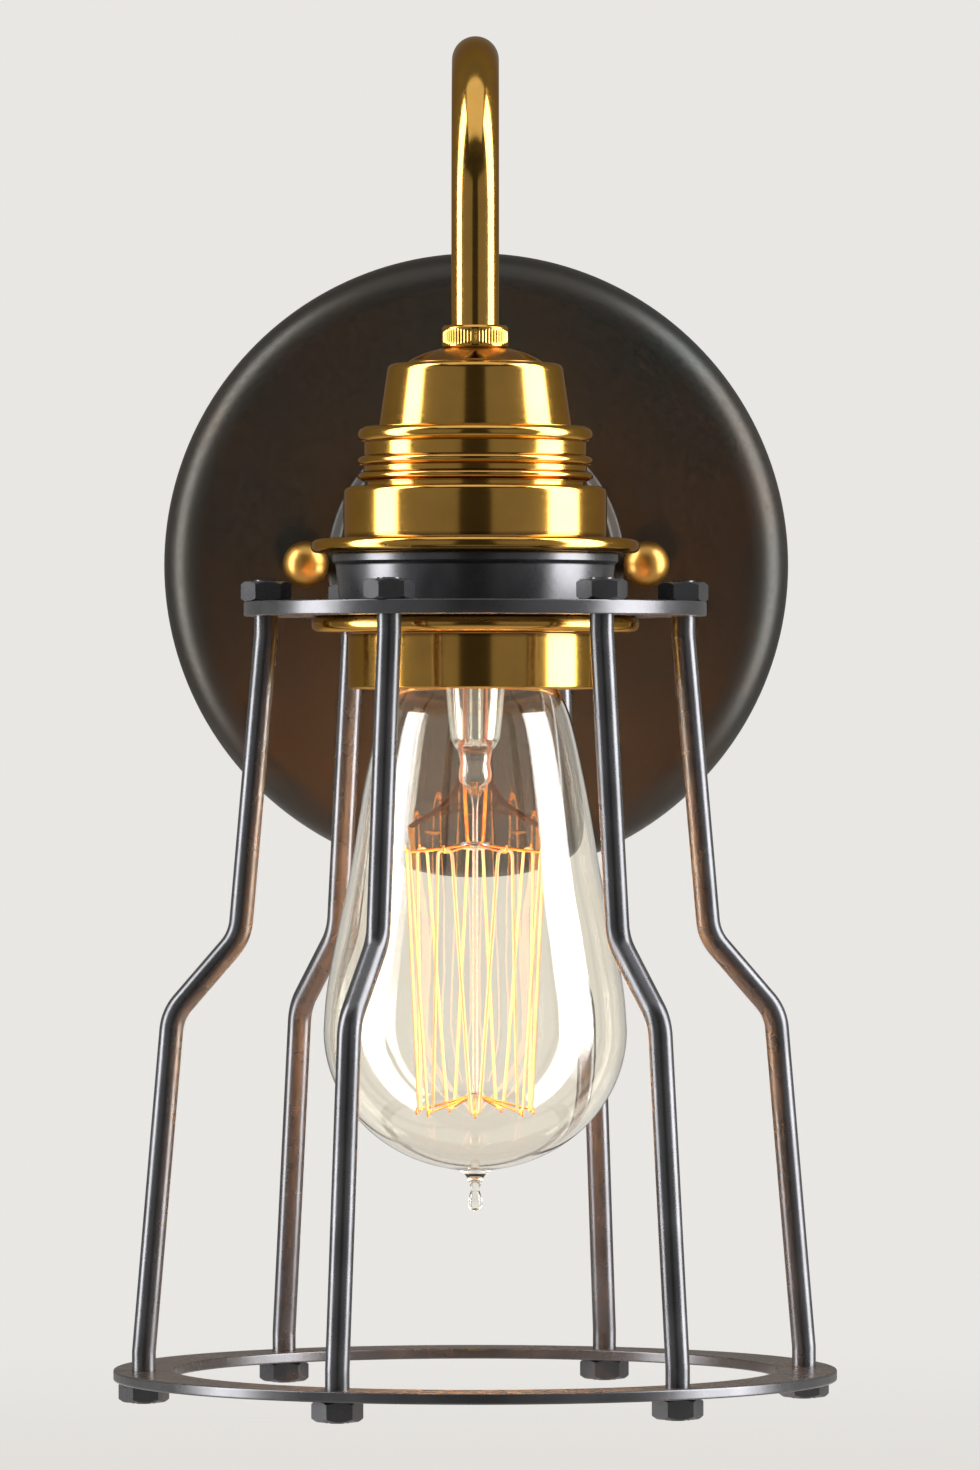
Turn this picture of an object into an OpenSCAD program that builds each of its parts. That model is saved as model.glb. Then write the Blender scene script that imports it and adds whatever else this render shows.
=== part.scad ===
// Cage wall light: a brass hooked arm on a round steel wall plate carries a brass
// lampholder, a six-rod steel cage and a clear pear-shaped filament bulb.
// Origin: centre of the wall plate, on the wall (the plane y = 0).
// +Z is up, the light stands out from the wall towards -Y, millimetres.

/* [Wall plate] */
// Diameter of the round wall plate
plate_d = 140; // [134:1:160]
// Depth of the plate from the wall to its flat front
plate_depth = 22; // [20:1:26]
// Radius of the rounded shoulder of the plate
shoulder_r = 9; // [6:0.5:11]
// Diameter of the raised boss in the middle of the plate
boss_d = 64; // [56:1:66]
// Height of the boss above the flat front
boss_rise = 3; // [2:0.5:4]
// Thickness of the pressed steel of the plate
plate_wall = 1.8; // [1.4:0.1:2.2]

/* [Fixing to the wall] */
// Distance between the two screws into the wall box
box_spacing = 88.9; // [84:0.1:92]
// Length of each slot for a wall box screw
slot_length = 12; // [8:0.5:14]
// Width of each slot for a wall box screw
slot_width = 4.8; // [4.4:0.1:5.2]
// Distance between the two studs that hold the plate
stud_spacing = 76; // [74:1:80]
// Diameter of the ball cap nuts
ball_d = 10.2; // [9.4:0.2:12]

/* [Arm] */
// Outside diameter of the arm tube
arm_d = 10; // [9:0.5:11]
// Wall thickness of the arm tube
arm_wall = 1; // [0.8:0.1:1.2]
// Distance of the lamp axis from the wall
lamp_reach = 150; // [146:1:170]
// Centreline radius of the hook bend at the top of the arm
hook_r = 36; // [32:1:38]
// Height of the centre of the hook bend above the plate centre
hook_z = 70; // [64:1:90]
// Centreline radius of the bend behind the lampholder
riser_bend_r = 27; // [20:1:30]

/* [Lampholder] */
// Diameter of the two brass flanges that clamp the cage
flange_d = 69; // [66:0.5:72]
// Diameter of the brass body below the ribbed ring
body_d = 55.3; // [54:0.1:57]
// Diameter of the smooth skirt below the cage
skirt_d = 53.9; // [53:0.1:55]
// Diameter of the ribbed ring over its beads
rib_d = 49.5; // [49:0.1:51]
// Diameter of the threaded sleeve that carries the cage
sleeve_d = 47; // [46.6:0.1:47.4]

/* [Cage] */
// Number of rods in the cage
rod_count = 6; // [6:1:6]
// Diameter of a cage rod
rod_d = 5; // [4.4:0.1:5.6]
// How far the cage is turned about the lamp axis, in degrees
cage_turn = 6.4; // [0:0.1:59]
// Diameter of the flat ring at the top of the cage
top_ring_d = 97; // [96:0.5:100]
// Diameter of the flat ring at the foot of the cage
foot_ring_d = 151.6; // [148:0.2:156]
// Width of the flat ring at the foot of the cage
foot_ring_w = 12.4; // [11:0.2:14]
// Distance across the flats of the rod nuts
nut_af = 9.2; // [8.6:0.1:9.8]

/* [Bulb] */
// Greatest diameter of the glass bulb
bulb_d = 63.6; // [60:0.2:65]
// Diameter of the bulb's screw cap over its thread
bulb_cap_d = 26; // [25.8:0.05:26.15]
// Radius of the ring of filament strands
filament_r = 14.5; // [12:0.5:16]
// Number of upper hooks that the filament hangs on
hook_count = 7; // [5:1:9]

/* [Hidden] */
$fn = 64;

// Colours of the real finishes
antique_brass = "#a07c2c";
bright_brass = "#c9a24b";
dark_steel = "#3a3b3b";
bronzed_steel = "#2e2c27";
zinc = "#a9abac";
porcelain_white = "#ece9e0";
copper = "#b4703c";

// Clearances
run_gap = 0.05;
free_gap = 0.3;
thread_gap = 0.03;

// Wall plate and its fixings; heights here are distances from the wall
plate_r = plate_d / 2;
boss_r = boss_d / 2;
boss_top = plate_depth + boss_rise;
boss_slope = 1.5;
boss_toe = 1;
boss_edge = 0.6;
strap_t = 2;
box_strap_w = 22;
box_strap_l = box_spacing + slot_length + box_strap_w / 2;
stud_strap_w = 16;
stud_strap_l = stud_spacing + stud_strap_w;
stud_r = 2;
stud_x = stud_spacing / 2;
stud_foot = 1;
stud_top = plate_depth + 6.5;
stud_hole_r = 2.3;
ball_r = ball_d / 2;
ball_sink = 0.5;
ball_bore_depth = 7.5;
pivot_r = 2.5;
pivot_head_r = 4.2;
pivot_head_h = 1.8;
pivot_end = 0.5;
pivot_slot_w = 1;
pivot_slot_depth = 0.8;
earth_x = 20;
earth_af = 7;
earth_head_h = 2.4;
earth_shank_r = 1.7;

// Arm; the nuts at both ends are on its threaded ends
arm_r = arm_d / 2;
arm_bore_r = arm_r - arm_wall;
arm_back = 12;
riser_y = lamp_reach - 2 * hook_r;
knuckle_y = riser_y - riser_bend_r;
arm_nut_r = 6.95;
arm_nut_h = 4.9;
arm_nut_bevel = 0.5;
washer_r = 9;
washer_t = 1.5;
hex_nut_af = 14;
hex_nut_h = 4;
arm_end_z = 35;

// Wires inside the arm
wire_r = 1;
wire_side = 1.7;
earth_inset = 2.4;
wire_lift = 0.1;
joint_swell = 1.1;
joint_overrun = 0.1;
wire_start = 8;
wire_end_z = arm_end_z - 2;
lead_rise = 2;
lead_drop = 14;
lead_out = 16;
bare_length = 6;
bare_r = 0.5;
wire_end_gap = 0.5;

// Lampholder, levels above the plate centre
neck_top_z = 47.7;
vent_top_z = neck_top_z - arm_nut_h;
cone_top_z = 39.7;
rib_top_z = 26.5;
body_top_z = 13.9;
flange_t = 3;
shell_t = 1.2;
vent_r = 14.25;
vent_t = 1;
vent_count = 6;
vent_middle_r = 12.45;
vent_size = 2.7;
vent_sill = 0.4;
// Outside of the vent cap as [radius, height] points, from the neck to its foot
vent_side = [[arm_nut_r + 0.6, vent_top_z], [10.6, vent_top_z - 0.9], [13.2, vent_top_z - 2.1],
             [vent_r, cone_top_z + 0.3]];
vent_steps = 5;
neck_nut_drop = 0.6;
cone_top_r = 18.25;
cone_foot_r = 20.3;
cone_edge_r = 1.3;
cone_mouth_r = 12.05;
cone_shoulder = 0.6;
rib_r = rib_d / 2;
rib_groove_r = 23.4;
rib_gap_r = 22.8;
rib_foot_z = 14.8;
rib_bevel = 0.1;
rib_bore_r = cone_foot_r - shell_t - 0.4;
// Beads of the ribbed ring as [height of the middle, half height]
beads = [[24.8, 1.5], [19.35, 1.05], [16.1, 0.95]];
body_r = body_d / 2;
body_edge_r = 1.2;
sleeve_r = sleeve_d / 2;
sleeve_bore_r = 22.3;
sleeve_foot_z = -26;
flange_r = flange_d / 2;
skirt_r = skirt_d / 2;
skirt_lip = 1.6;
skirt_foot_z = -28.5;
skirt_bevel = 0.5;
ring_flange_z = -16.7;
core_r = 19;
core_flange_r = 20.4;
core_flange_t = 3;
core_seat_r = core_flange_r + 0.2;
core_boss_r = 15.5;
core_boss_top = 24;
core_foot_z = -20;
shell_seat_r = 19.4;
terminal_x = 9;
terminal_head_r = 2.6;
terminal_head_h = 1.6;
terminal_shank_r = 1.5;
terminal_shank_l = 7;
terminal_hole_l = 8;
terminal_slot_w = 0.8;
terminal_slot_depth = 0.7;

// Lamp socket and bulb cap
cap_r = bulb_cap_d / 2;
thread_pitch = 3.629;
thread_depth = 0.45;
socket_r = cap_r + free_gap;
socket_t = 0.6;
socket_top_z = 2.2;
socket_foot_z = -21;
socket_lip_r = 11.8;
shell_overlap = 0.01;
cap_top_z = 0.6;
cap_foot_z = -20.8;
cap_wall = 0.4;
cap_shoulder = 1.4;
cap_plain_r = cap_r - 0.2;
thread_top_z = cap_top_z - 1.2;
thread_foot_z = cap_foot_z + 3.4;
thread_steps = 48;
insulator_top_z = 3.2;
insulator_r = 10.8;
insulator_edge = 1;
insulator_lip = 0.6;
pip_r = 5.2;
// Outside of the tip contact as [inward, upward] steps from its foot
pip_side = [[0, 0], [0.3, 0.6], [1.6, 1], [3, 1.2]];
contact_z = 4.6;
contact_t = 0.5;
contact_l = 22;
contact_w = 7;

// Cage
collar_lip_r = 30;
collar_top_r = 29.3;
collar_foot_r = 28.5;
collar_bore_r = 27;
collar_h = 10.2;
collar_neck_z = -2.4;
collar_lip_z = -1.8;
collar_edge = 0.4;
top_ring_t = 3;
ring_bore_r = sleeve_r + 0.4;
clamp_z = -collar_h - top_ring_t;
foot_ring_t = 2.2;
foot_ring_z = -173.1;
foot_ring_r = foot_ring_d / 2;
foot_rod_r = foot_ring_r - foot_ring_w / 2;
nut_h = 4.2;
thread_r = 2;
rod_hole_r = thread_r + 0.1;
thread_proud = 0.3;
rod_r = rod_d / 2;
// Centreline of a rod as [distance from the lamp axis, height], shoulder to shoulder
rod_corners = [[44, clamp_z], [44, -17], [49.5, -80.2], [63.6, -96.5],
               [foot_rod_r, -167], [foot_rod_r, foot_ring_z + foot_ring_t]];
rod_bend_r = [0, 6, 10, 10, 6, 0];
bend_step = 6;
bar_sides = 20;

// Bulb glass: [radius, height] points down the side to the widest place
bulb_r = bulb_d / 2;
glass_t = 0.8;
neck_glass_r = 12.05;
neck_glass_top = -12;
glass_side = [[neck_glass_r, -21.2], [17.3, -28.7], [20.2, -35], [23.2, -48.6], [26.1, -66.2],
              [28.9, -79.5], [31.1, -91.5], [bulb_r, -100]];
glass_steps = 5;
dome_h = 29.4;
dome_steps = 16;
tip_foot_z = -138;
tip_r = 1.5;
tip_neck_r = 0.9;
tip_neck_z = tip_foot_z + 4.6;
tip_root_r = 3.2;
tip_waist_r = 1.9;
tip_waist_drop = 1.4;

// Glass stem: the flare narrows to the pinch, which holds the post and its two buttons
stem_top_z = -14;
flare_r = neck_glass_r - glass_t - 0.15;
stem_r = 5.2;
stem_foot_z = -39;
// Outside of the flare as [radius, height] points
flare_side = [[flare_r, stem_top_z], [8.5, -19], [6.6, -26], [5.8, -34], [stem_r, stem_foot_z]];
flare_steps = 4;
flare_floor = 1;
pinch_r = 3.4;
pinch_top_z = -42;
pinch_foot_z = -47.6;
press_foot_z = -49;
press_foot_r = 2.3;
post_r = 0.6;
post_z = -53;
upper_button_z = -61.3;
upper_button_r = 3.2;
lower_button_z = -114;
lower_button_r = 2;
button_h = 1.6;
button_sink = 0.4;

// Filament and the wires that carry it
hook_wire_r = 0.25;
lead_wire_r = 0.4;
lead_x = 2.2;
lead_top_z = stem_top_z - 2;
lead_bend_z = press_foot_z - 1;
filament_wire_r = 0.35;
filament_top_z = -62;
filament_foot_z = -117;
filament_taper = 2.5;
filament_foot_r = filament_r - filament_taper;
// Half widths of the narrow loops of the strand over the upper and round the lower hooks
upper_loop = 1.6;
lower_loop = 0.9;

// ---- Helpers ----

// Points on an arc from angle a0 to a1
function arc(cx, cy, r, a0, a1, steps) =
    [for (i = [0 : steps]) let(a = a0 + (a1 - a0) * i / steps) [cx + r * cos(a), cy + r * sin(a)]];

// Smooth curve through points, with its ends' neighbours mirrored
function curve_at(p, i, t) = let(
        p0 = p[max(i - 1, 0)],
        p1 = p[i],
        p2 = p[i + 1],
        p3 = p[min(i + 2, len(p) - 1)]
    )
    0.5 * (2 * p1 + (p2 - p0) * t + (2 * p0 - 5 * p1 + 4 * p2 - p3) * t * t
           + (3 * p1 - p0 - 3 * p2 + p3) * t * t * t);
function smooth(p, steps) = concat(
    [for (i = [0 : len(p) - 2]) for (s = [0 : steps - 1]) curve_at(p, i, s / steps)],
    [p[len(p) - 1]]);

// A point at angle a around the lamp axis
function around(r, a, z) = [r * cos(a), r * sin(a), z];

module on_lamp_axis() {
    translate([0, -lamp_reach, 0]) children();
}

// Turns a shape drawn along +Z so that it stands out from the wall
module from_wall(x = 0, z = 0) {
    translate([x, 0, z]) rotate([90, 0, 0]) children();
}

module ring(r_out, r_in, z0, z1) {
    translate([0, 0, z0]) difference() {
        cylinder(r = r_out, h = z1 - z0);
        translate([0, 0, -1]) cylinder(r = r_in, h = z1 - z0 + 2);
    }
}

module hex_nut(af, h, bore_r) {
    difference() {
        cylinder(d = af / cos(30), h = h, $fn = 6);
        translate([0, 0, -1]) cylinder(r = bore_r, h = h + 2);
    }
}

// A round wire from point a to point b
module wire_between(a, b, r) {
    d = b - a;
    lean = atan2(norm([d[0], d[1]]), d[2]);
    translate(a) rotate([0, lean, atan2(d[1], d[0])]) cylinder(r = r, h = norm(d), $fn = 24);
}

// Ball that joins two wires
module wire_joint(place, r) {
    translate(place) sphere(r = r * joint_swell, $fn = 24);
}

// A wire through points; each straight runs a little way past its end, into the next one
module wire_through(points, r) {
    for (i = [0 : len(points) - 2]) let(d = points[i + 1] - points[i])
        wire_between(points[i], points[i + 1] + joint_overrun * d / norm(d), r);
    for (i = [1 : len(points) - 2]) wire_joint(points[i], r);
}

// ---- Wall plate and fixings ----

module strap_blank(length, width, height) {
    translate([-(length - width) / 2, -width / 2, height]) cube([length - width, width, strap_t]);
    for (s = [-1, 1]) translate([s * (length - width) / 2, 0, height]) cylinder(d = width, h = strap_t);
}

module slot(length, width) {
    translate([-(length - width) / 2, -width / 2, -1]) cube([length - width, width, strap_t + 2]);
    for (s = [-1, 1]) translate([s * (length - width) / 2, 0, -1]) cylinder(d = width, h = strap_t + 2);
}

// Upright strap that two screws hold to the wall box
module box_strap() {
    color(zinc) from_wall() rotate([0, 0, 90]) difference() {
        strap_blank(box_strap_l, box_strap_w, 0);
        for (s = [-1, 1]) translate([s * box_spacing / 2, 0, 0]) slot(slot_length, slot_width);
        translate([0, 0, -1]) cylinder(r = pivot_r + thread_gap, h = strap_t + 2);
    }
}

// Level strap in front of it, which carries the two studs
module stud_strap() {
    color(zinc) from_wall() difference() {
        strap_blank(stud_strap_l, stud_strap_w, strap_t);
        for (s = [-1, 1]) translate([s * stud_x, 0, 0]) cylinder(r = stud_r + thread_gap, h = 3 * strap_t);
        cylinder(r = pivot_r + thread_gap, h = 3 * strap_t);
        translate([earth_x, 0, 0]) cylinder(r = earth_shank_r + thread_gap, h = 3 * strap_t);
    }
}

// Screw that joins the two straps
module pivot_screw() {
    color(zinc) from_wall() difference() {
        union() {
            cylinder(r = pivot_r, h = 2 * strap_t + pivot_end);
            translate([0, 0, 2 * strap_t]) cylinder(r = pivot_head_r, h = pivot_head_h);
        }
        translate([-pivot_head_r, -pivot_slot_w / 2, 2 * strap_t + pivot_head_h - pivot_slot_depth])
            cube([2 * pivot_head_r, pivot_slot_w, pivot_slot_depth + 1]);
    }
}

module earth_screw() {
    color("#3f7d4a") from_wall(earth_x) {
        translate([0, 0, stud_foot]) cylinder(r = earth_shank_r, h = 2 * strap_t);
        translate([0, 0, 2 * strap_t]) cylinder(d = earth_af / cos(30), h = earth_head_h, $fn = 6);
    }
}

module plate_studs() {
    color(zinc) for (s = [-1, 1]) from_wall(s * stud_x) {
        translate([0, 0, stud_foot]) cylinder(r = stud_r, h = stud_top - stud_foot);
    }
}

// Half section of the plate's outside, grown inwards by t
function plate_skin(t) = concat(
    [[plate_r - t, 0]],
    arc(plate_r - shoulder_r, plate_depth - shoulder_r, shoulder_r - t, 0, 90, 12),
    [[boss_r + boss_toe - t / 2, plate_depth - t]],
    [[boss_r - boss_slope / 2 - t / 2, boss_top - boss_edge - t]],
    [[boss_r - boss_slope - t / 2, boss_top - t], [0, boss_top - t]]);

module wall_plate() {
    color(bronzed_steel) from_wall() difference() {
        rotate_extrude($fn = 128) difference() {
            polygon(concat(plate_skin(0), [[0, 0]]));
            polygon(concat(plate_skin(plate_wall), [[0, -1], [plate_r - plate_wall, -1]]));
        }
        for (s = [-1, 1]) translate([s * stud_x, 0, 0]) cylinder(r = stud_hole_r, h = boss_top);
        cylinder(r = arm_r + free_gap, h = boss_top + 1);
    }
}

// Round cap nut on a stud
module ball_nut(side) {
    color(antique_brass) from_wall(side * stud_x) translate([0, 0, plate_depth]) difference() {
        translate([0, 0, ball_r - ball_sink]) sphere(r = ball_r, $fn = 48);
        translate([0, 0, -ball_r]) cylinder(r = ball_r, h = ball_r);
        translate([0, 0, -1]) cylinder(r = stud_r + run_gap, h = ball_bore_depth + 1);
    }
}

// ---- Arm ----

// A round bar along the arm's centreline, moved sideways by side and to the inside
// of the lower bend by inset; back and foot are its two ends
module along_arm(r, side, inset, back, foot) {
    translate([side, -back, inset]) rotate([90, 0, 0]) cylinder(r = r, h = knuckle_y - back);
    translate([side, -knuckle_y, riser_bend_r]) rotate([90, 0, 90]) rotate([0, 0, 180])
        rotate_extrude(angle = 90) translate([riser_bend_r - inset, 0]) circle(r = r);
    translate([side, -riser_y + inset, riser_bend_r]) cylinder(r = r, h = hook_z - riser_bend_r);
    translate([side, -riser_y - hook_r, hook_z]) rotate([90, 0, 90])
        rotate_extrude(angle = 180) translate([hook_r + inset, 0]) circle(r = r);
    translate([side, -lamp_reach - inset, foot]) cylinder(r = r, h = hook_z - foot);
}

module arm_tube() {
    color(antique_brass) difference() {
        along_arm(arm_r, 0, 0, arm_back, arm_end_z);
        along_arm(arm_bore_r, 0, 0, arm_back - 1, arm_end_z - 1);
    }
}

module round_nut(r, h) {
    difference() {
        rotate_extrude() polygon([[0, 0], [r - arm_nut_bevel, 0], [r, arm_nut_bevel],
                                  [r, h - arm_nut_bevel], [r - arm_nut_bevel, h], [0, h]]);
        translate([0, 0, -1]) cylinder(r = arm_r + thread_gap, h = h + 2);
    }
}

module arm_front_nut() {
    color(antique_brass) from_wall() translate([0, 0, boss_top]) round_nut(arm_nut_r, arm_nut_h);
}

module arm_washer() {
    color(zinc) from_wall() ring(washer_r, arm_r + free_gap,
        boss_top - plate_wall - washer_t, boss_top - plate_wall);
}

module arm_lock_nut() {
    color(zinc) from_wall() translate([0, 0, boss_top - plate_wall - washer_t - hex_nut_h])
        hex_nut(hex_nut_af, hex_nut_h, arm_r + thread_gap);
}

// ---- Wires ----

// An insulated wire through the arm: a lead in the plate's hollow, then the arm, then a
// terminal inside the lampholder
module arm_wire(side, inset, lead_end, terminal) {
    along_arm(wire_r, side, inset, wire_start, wire_end_z);
    lead_start = [side, -wire_start, inset];
    lead_dir = (lead_end - lead_start) / norm(lead_end - lead_start);
    wire_between(lead_start, lead_end, wire_r);
    wire_joint(lead_start, wire_r);
    wire_between(lead_end - lead_dir * joint_overrun, lead_end + lead_dir * bare_length, bare_r);
    inside_end = [side, -lamp_reach - inset, wire_end_z];
    wire_joint(inside_end, wire_r);
    wire_between(inside_end, terminal, wire_r);
}

module live_wire() {
    color("#242424") arm_wire(-wire_side, 0, [-lead_out, -wire_start - lead_rise, -lead_drop],
        [-terminal_x + terminal_head_r + wire_end_gap, -lamp_reach, core_boss_top + wire_r]);
}

module neutral_wire() {
    color("#dcdad2") arm_wire(wire_side, 0, [lead_out, -wire_start - lead_rise, -lead_drop],
        [terminal_x - terminal_head_r - wire_end_gap, -lamp_reach, core_boss_top + wire_r]);
}

// The earth wire joins the lampholder's metal at the neck and the strap at the wall
module earth_wire() {
    color("#4d7a45") {
        along_arm(wire_r, 0, earth_inset, wire_start, wire_end_z);
        earth_start = [0, -wire_start, earth_inset];
        earth_end = [earth_x - earth_af / 2 / cos(30) - wire_end_gap, -2 * strap_t - wire_r - wire_lift, 0];
        wire_joint(earth_start, wire_r);
        wire_between(earth_start, earth_end, wire_r);
    }
}

// ---- Lampholder ----

module neck_collar() {
    color(antique_brass) on_lamp_axis() translate([0, 0, vent_top_z]) round_nut(arm_nut_r, arm_nut_h);
}

module neck_nut() {
    color(zinc) on_lamp_axis() translate([0, 0, vent_top_z - vent_t - neck_nut_drop - hex_nut_h])
        hex_nut(hex_nut_af, hex_nut_h, arm_r + thread_gap);
}

// Low domed cap with a row of three-cornered air vents
module vent_cap() {
    dome = smooth(vent_side, vent_steps);
    color(antique_brass) on_lamp_axis() difference() {
        rotate_extrude() difference() {
            polygon(concat([[arm_r + free_gap, vent_top_z]], dome,
                           [[vent_r, cone_top_z], [vent_r - vent_t, cone_top_z]],
                           [for (i = [len(dome) - 1 : -1 : 0]) if (dome[i][1] - vent_t > cone_top_z)
                               dome[i] - [vent_t, vent_t]],
                           [[arm_r + free_gap, vent_top_z - vent_t]]));
        }
        for (i = [0 : vent_count - 1]) rotate([0, 0, 30 + i * 360 / vent_count])
            translate([vent_middle_r, 0, cone_top_z + vent_sill]) rotate([0, 0, 180])
                linear_extrude(height = 2 * vent_size) circle(r = vent_size, $fn = 3);
    }
}

module cone_shell() {
    top_edge = arc(cone_top_r - cone_edge_r, cone_top_z - cone_edge_r, cone_edge_r, 5, 90, 6);
    color(antique_brass) on_lamp_axis() rotate_extrude() polygon(concat(
        [[cone_foot_r, rib_top_z]], top_edge,
        [[cone_mouth_r, cone_top_z], [cone_mouth_r, cone_top_z - shell_t]],
        [[cone_top_r - shell_t - cone_shoulder, cone_top_z - shell_t], [cone_foot_r - shell_t, rib_top_z]]));
}

// A round bead on the ribbed ring's side, centred at height z
function bead(z, half) = [for (a = [90 : -30 : -90])
    [rib_groove_r + (rib_r - rib_groove_r) * cos(a), z + half * sin(a)]];

module ribbed_ring() {
    color(antique_brass) on_lamp_axis() rotate_extrude() polygon(concat(
        [[rib_bore_r, rib_top_z], [rib_groove_r, rib_top_z]],
        [for (b = beads) each bead(b[0], b[1])],
        [[rib_groove_r, rib_foot_z + rib_bevel], [rib_gap_r, rib_foot_z], [rib_gap_r, body_top_z]],
        [[core_seat_r, body_top_z], [core_seat_r, body_top_z + core_flange_t]],
        [[rib_bore_r, body_top_z + core_flange_t]]));
}

// Body with its upper flange and the threaded sleeve that goes down through the cage
module body_shell() {
    color(antique_brass) on_lamp_axis() rotate_extrude() polygon(concat(
        [[sleeve_bore_r, sleeve_foot_z], [sleeve_r, sleeve_foot_z], [sleeve_r, 0]],
        arc(flange_r - flange_t / 2, flange_t / 2, flange_t / 2, -90, 90, 8),
        [[body_r, flange_t]],
        arc(body_r - body_edge_r, body_top_z - body_edge_r, body_edge_r, 0, 90, 5),
        [[shell_seat_r, body_top_z], [shell_seat_r, body_top_z - shell_t]],
        [[body_r - shell_t, body_top_z - shell_t], [body_r - shell_t, flange_t - shell_t]],
        [[sleeve_bore_r, flange_t - shell_t]]));
}

// Ceramic core that holds the socket and the terminals
module porcelain_core() {
    color(porcelain_white) on_lamp_axis() difference() {
        rotate_extrude() polygon([
            [0, core_boss_top], [core_boss_r, core_boss_top], [core_boss_r, body_top_z + core_flange_t],
            [core_flange_r, body_top_z + core_flange_t], [core_flange_r, body_top_z],
            [core_r, body_top_z], [core_r, core_foot_z],
            [socket_r + socket_t + thread_gap, core_foot_z],
            [socket_r + socket_t + thread_gap, contact_z + contact_t], [0, contact_z + contact_t]]);
        for (s = [-1, 1]) translate([s * terminal_x, 0, core_boss_top - terminal_hole_l])
            cylinder(r = terminal_shank_r + thread_gap, h = terminal_hole_l + 1);
    }
}

module terminal_screws() {
    color(antique_brass) on_lamp_axis() for (s = [-1, 1]) translate([s * terminal_x, 0, core_boss_top]) {
        difference() {
            cylinder(r = terminal_head_r, h = terminal_head_h);
            translate([-terminal_head_r, -terminal_slot_w / 2, terminal_head_h - terminal_slot_depth])
                cube([2 * terminal_head_r, terminal_slot_w, terminal_slot_depth + 1]);
        }
        translate([0, 0, -terminal_shank_l])
            cylinder(r = terminal_shank_r, h = terminal_shank_l + terminal_head_h / 2);
    }
}

// Thin threaded shell that the bulb's cap turns into
module screw_shell() {
    color(bright_brass) on_lamp_axis() {
        ring(socket_r + socket_t, socket_r, socket_foot_z, socket_top_z);
        ring(socket_r + socket_t, socket_lip_r, socket_top_z - shell_overlap, socket_top_z + socket_t);
    }
}

// Flat spring that the tip of the bulb presses on
module centre_contact() {
    color(bright_brass) on_lamp_axis() intersection() {
        translate([-contact_l / 2, -contact_w / 2, contact_z]) cube([contact_l, contact_w, contact_t]);
        translate([0, 0, contact_z - 1]) cylinder(r = contact_l / 2, h = 3);
    }
}

// Flanged ring that screws up the sleeve and clamps the cage
module retaining_ring() {
    ring_top = clamp_z;
    edge = (ring_top - ring_flange_z) / 2;
    color(antique_brass) on_lamp_axis() rotate_extrude() polygon(concat(
        [[sleeve_r + run_gap, ring_top]],
        arc(flange_r - edge, ring_top - edge, edge, 90, -90, 8),
        [[skirt_r, ring_flange_z], [skirt_r, skirt_foot_z + skirt_bevel]],
        [[skirt_r - skirt_bevel, skirt_foot_z]],
        [[skirt_r - skirt_lip, skirt_foot_z], [skirt_r - skirt_lip, sleeve_foot_z]],
        [[sleeve_r + run_gap, sleeve_foot_z]]));
}

// ---- Cage ----

module cage_collar() {
    color(dark_steel) on_lamp_axis() rotate_extrude() polygon([
        [collar_bore_r, -collar_h], [collar_foot_r, -collar_h], [collar_top_r, collar_neck_z],
        [collar_lip_r, collar_lip_z], [collar_lip_r, -collar_edge], [collar_lip_r - collar_edge, 0],
        [collar_bore_r, 0]]);
}

module at_rods(r) {
    on_lamp_axis() for (i = [0 : rod_count - 1]) rotate([0, 0, cage_turn + i * 360 / rod_count])
        translate([r, 0, 0]) children();
}

module cage_top_ring() {
    color(dark_steel) difference() {
        on_lamp_axis() ring(top_ring_d / 2, ring_bore_r, clamp_z, -collar_h);
        at_rods(rod_corners[0][0]) translate([0, 0, clamp_z - 1])
            cylinder(r = rod_hole_r, h = top_ring_t + 2);
    }
}

module cage_foot_ring() {
    color(dark_steel) difference() {
        on_lamp_axis() ring(foot_ring_r, foot_ring_r - foot_ring_w, foot_ring_z, foot_ring_z + foot_ring_t);
        at_rods(foot_rod_r) translate([0, 0, foot_ring_z - 1])
            cylinder(r = rod_hole_r, h = foot_ring_t + 2);
    }
}

module cage_top_nuts() {
    color(dark_steel) at_rods(rod_corners[0][0]) translate([0, 0, -collar_h])
        hex_nut(nut_af, nut_h, thread_r + thread_gap);
}

module cage_foot_nuts() {
    color(dark_steel) at_rods(foot_rod_r) translate([0, 0, foot_ring_z - nut_h])
        hex_nut(nut_af, nut_h, thread_r + thread_gap);
}

// The way to the left of a heading in the rod's own plane
function left_of(h) = [-sin(h), cos(h)];

// Stations along a bent rod, each [point, heading]: its ends, and the steps round each bend
function rod_stations(corners, bends) = let(
        last = len(corners) - 1,
        h = [for (i = [0 : last - 1]) let(d = corners[i + 1] - corners[i]) atan2(d[1], d[0])]
    )
    [for (i = [0 : last]) each i == 0 || i == last ? [[corners[i], h[min(i, last - 1)]]] : let(
            turn = h[i] - h[i - 1],
            side = sign(turn) * bends[i],
            back = bends[i] * tan(abs(turn) / 2),
            centre = corners[i] - back * [cos(h[i - 1]), sin(h[i - 1])] + side * left_of(h[i - 1]),
            steps = max(2, round(abs(turn) / bend_step))
        )
        [for (k = [0 : steps]) let(a = h[i - 1] + turn * k / steps) [centre - side * left_of(a), a]]];

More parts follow.
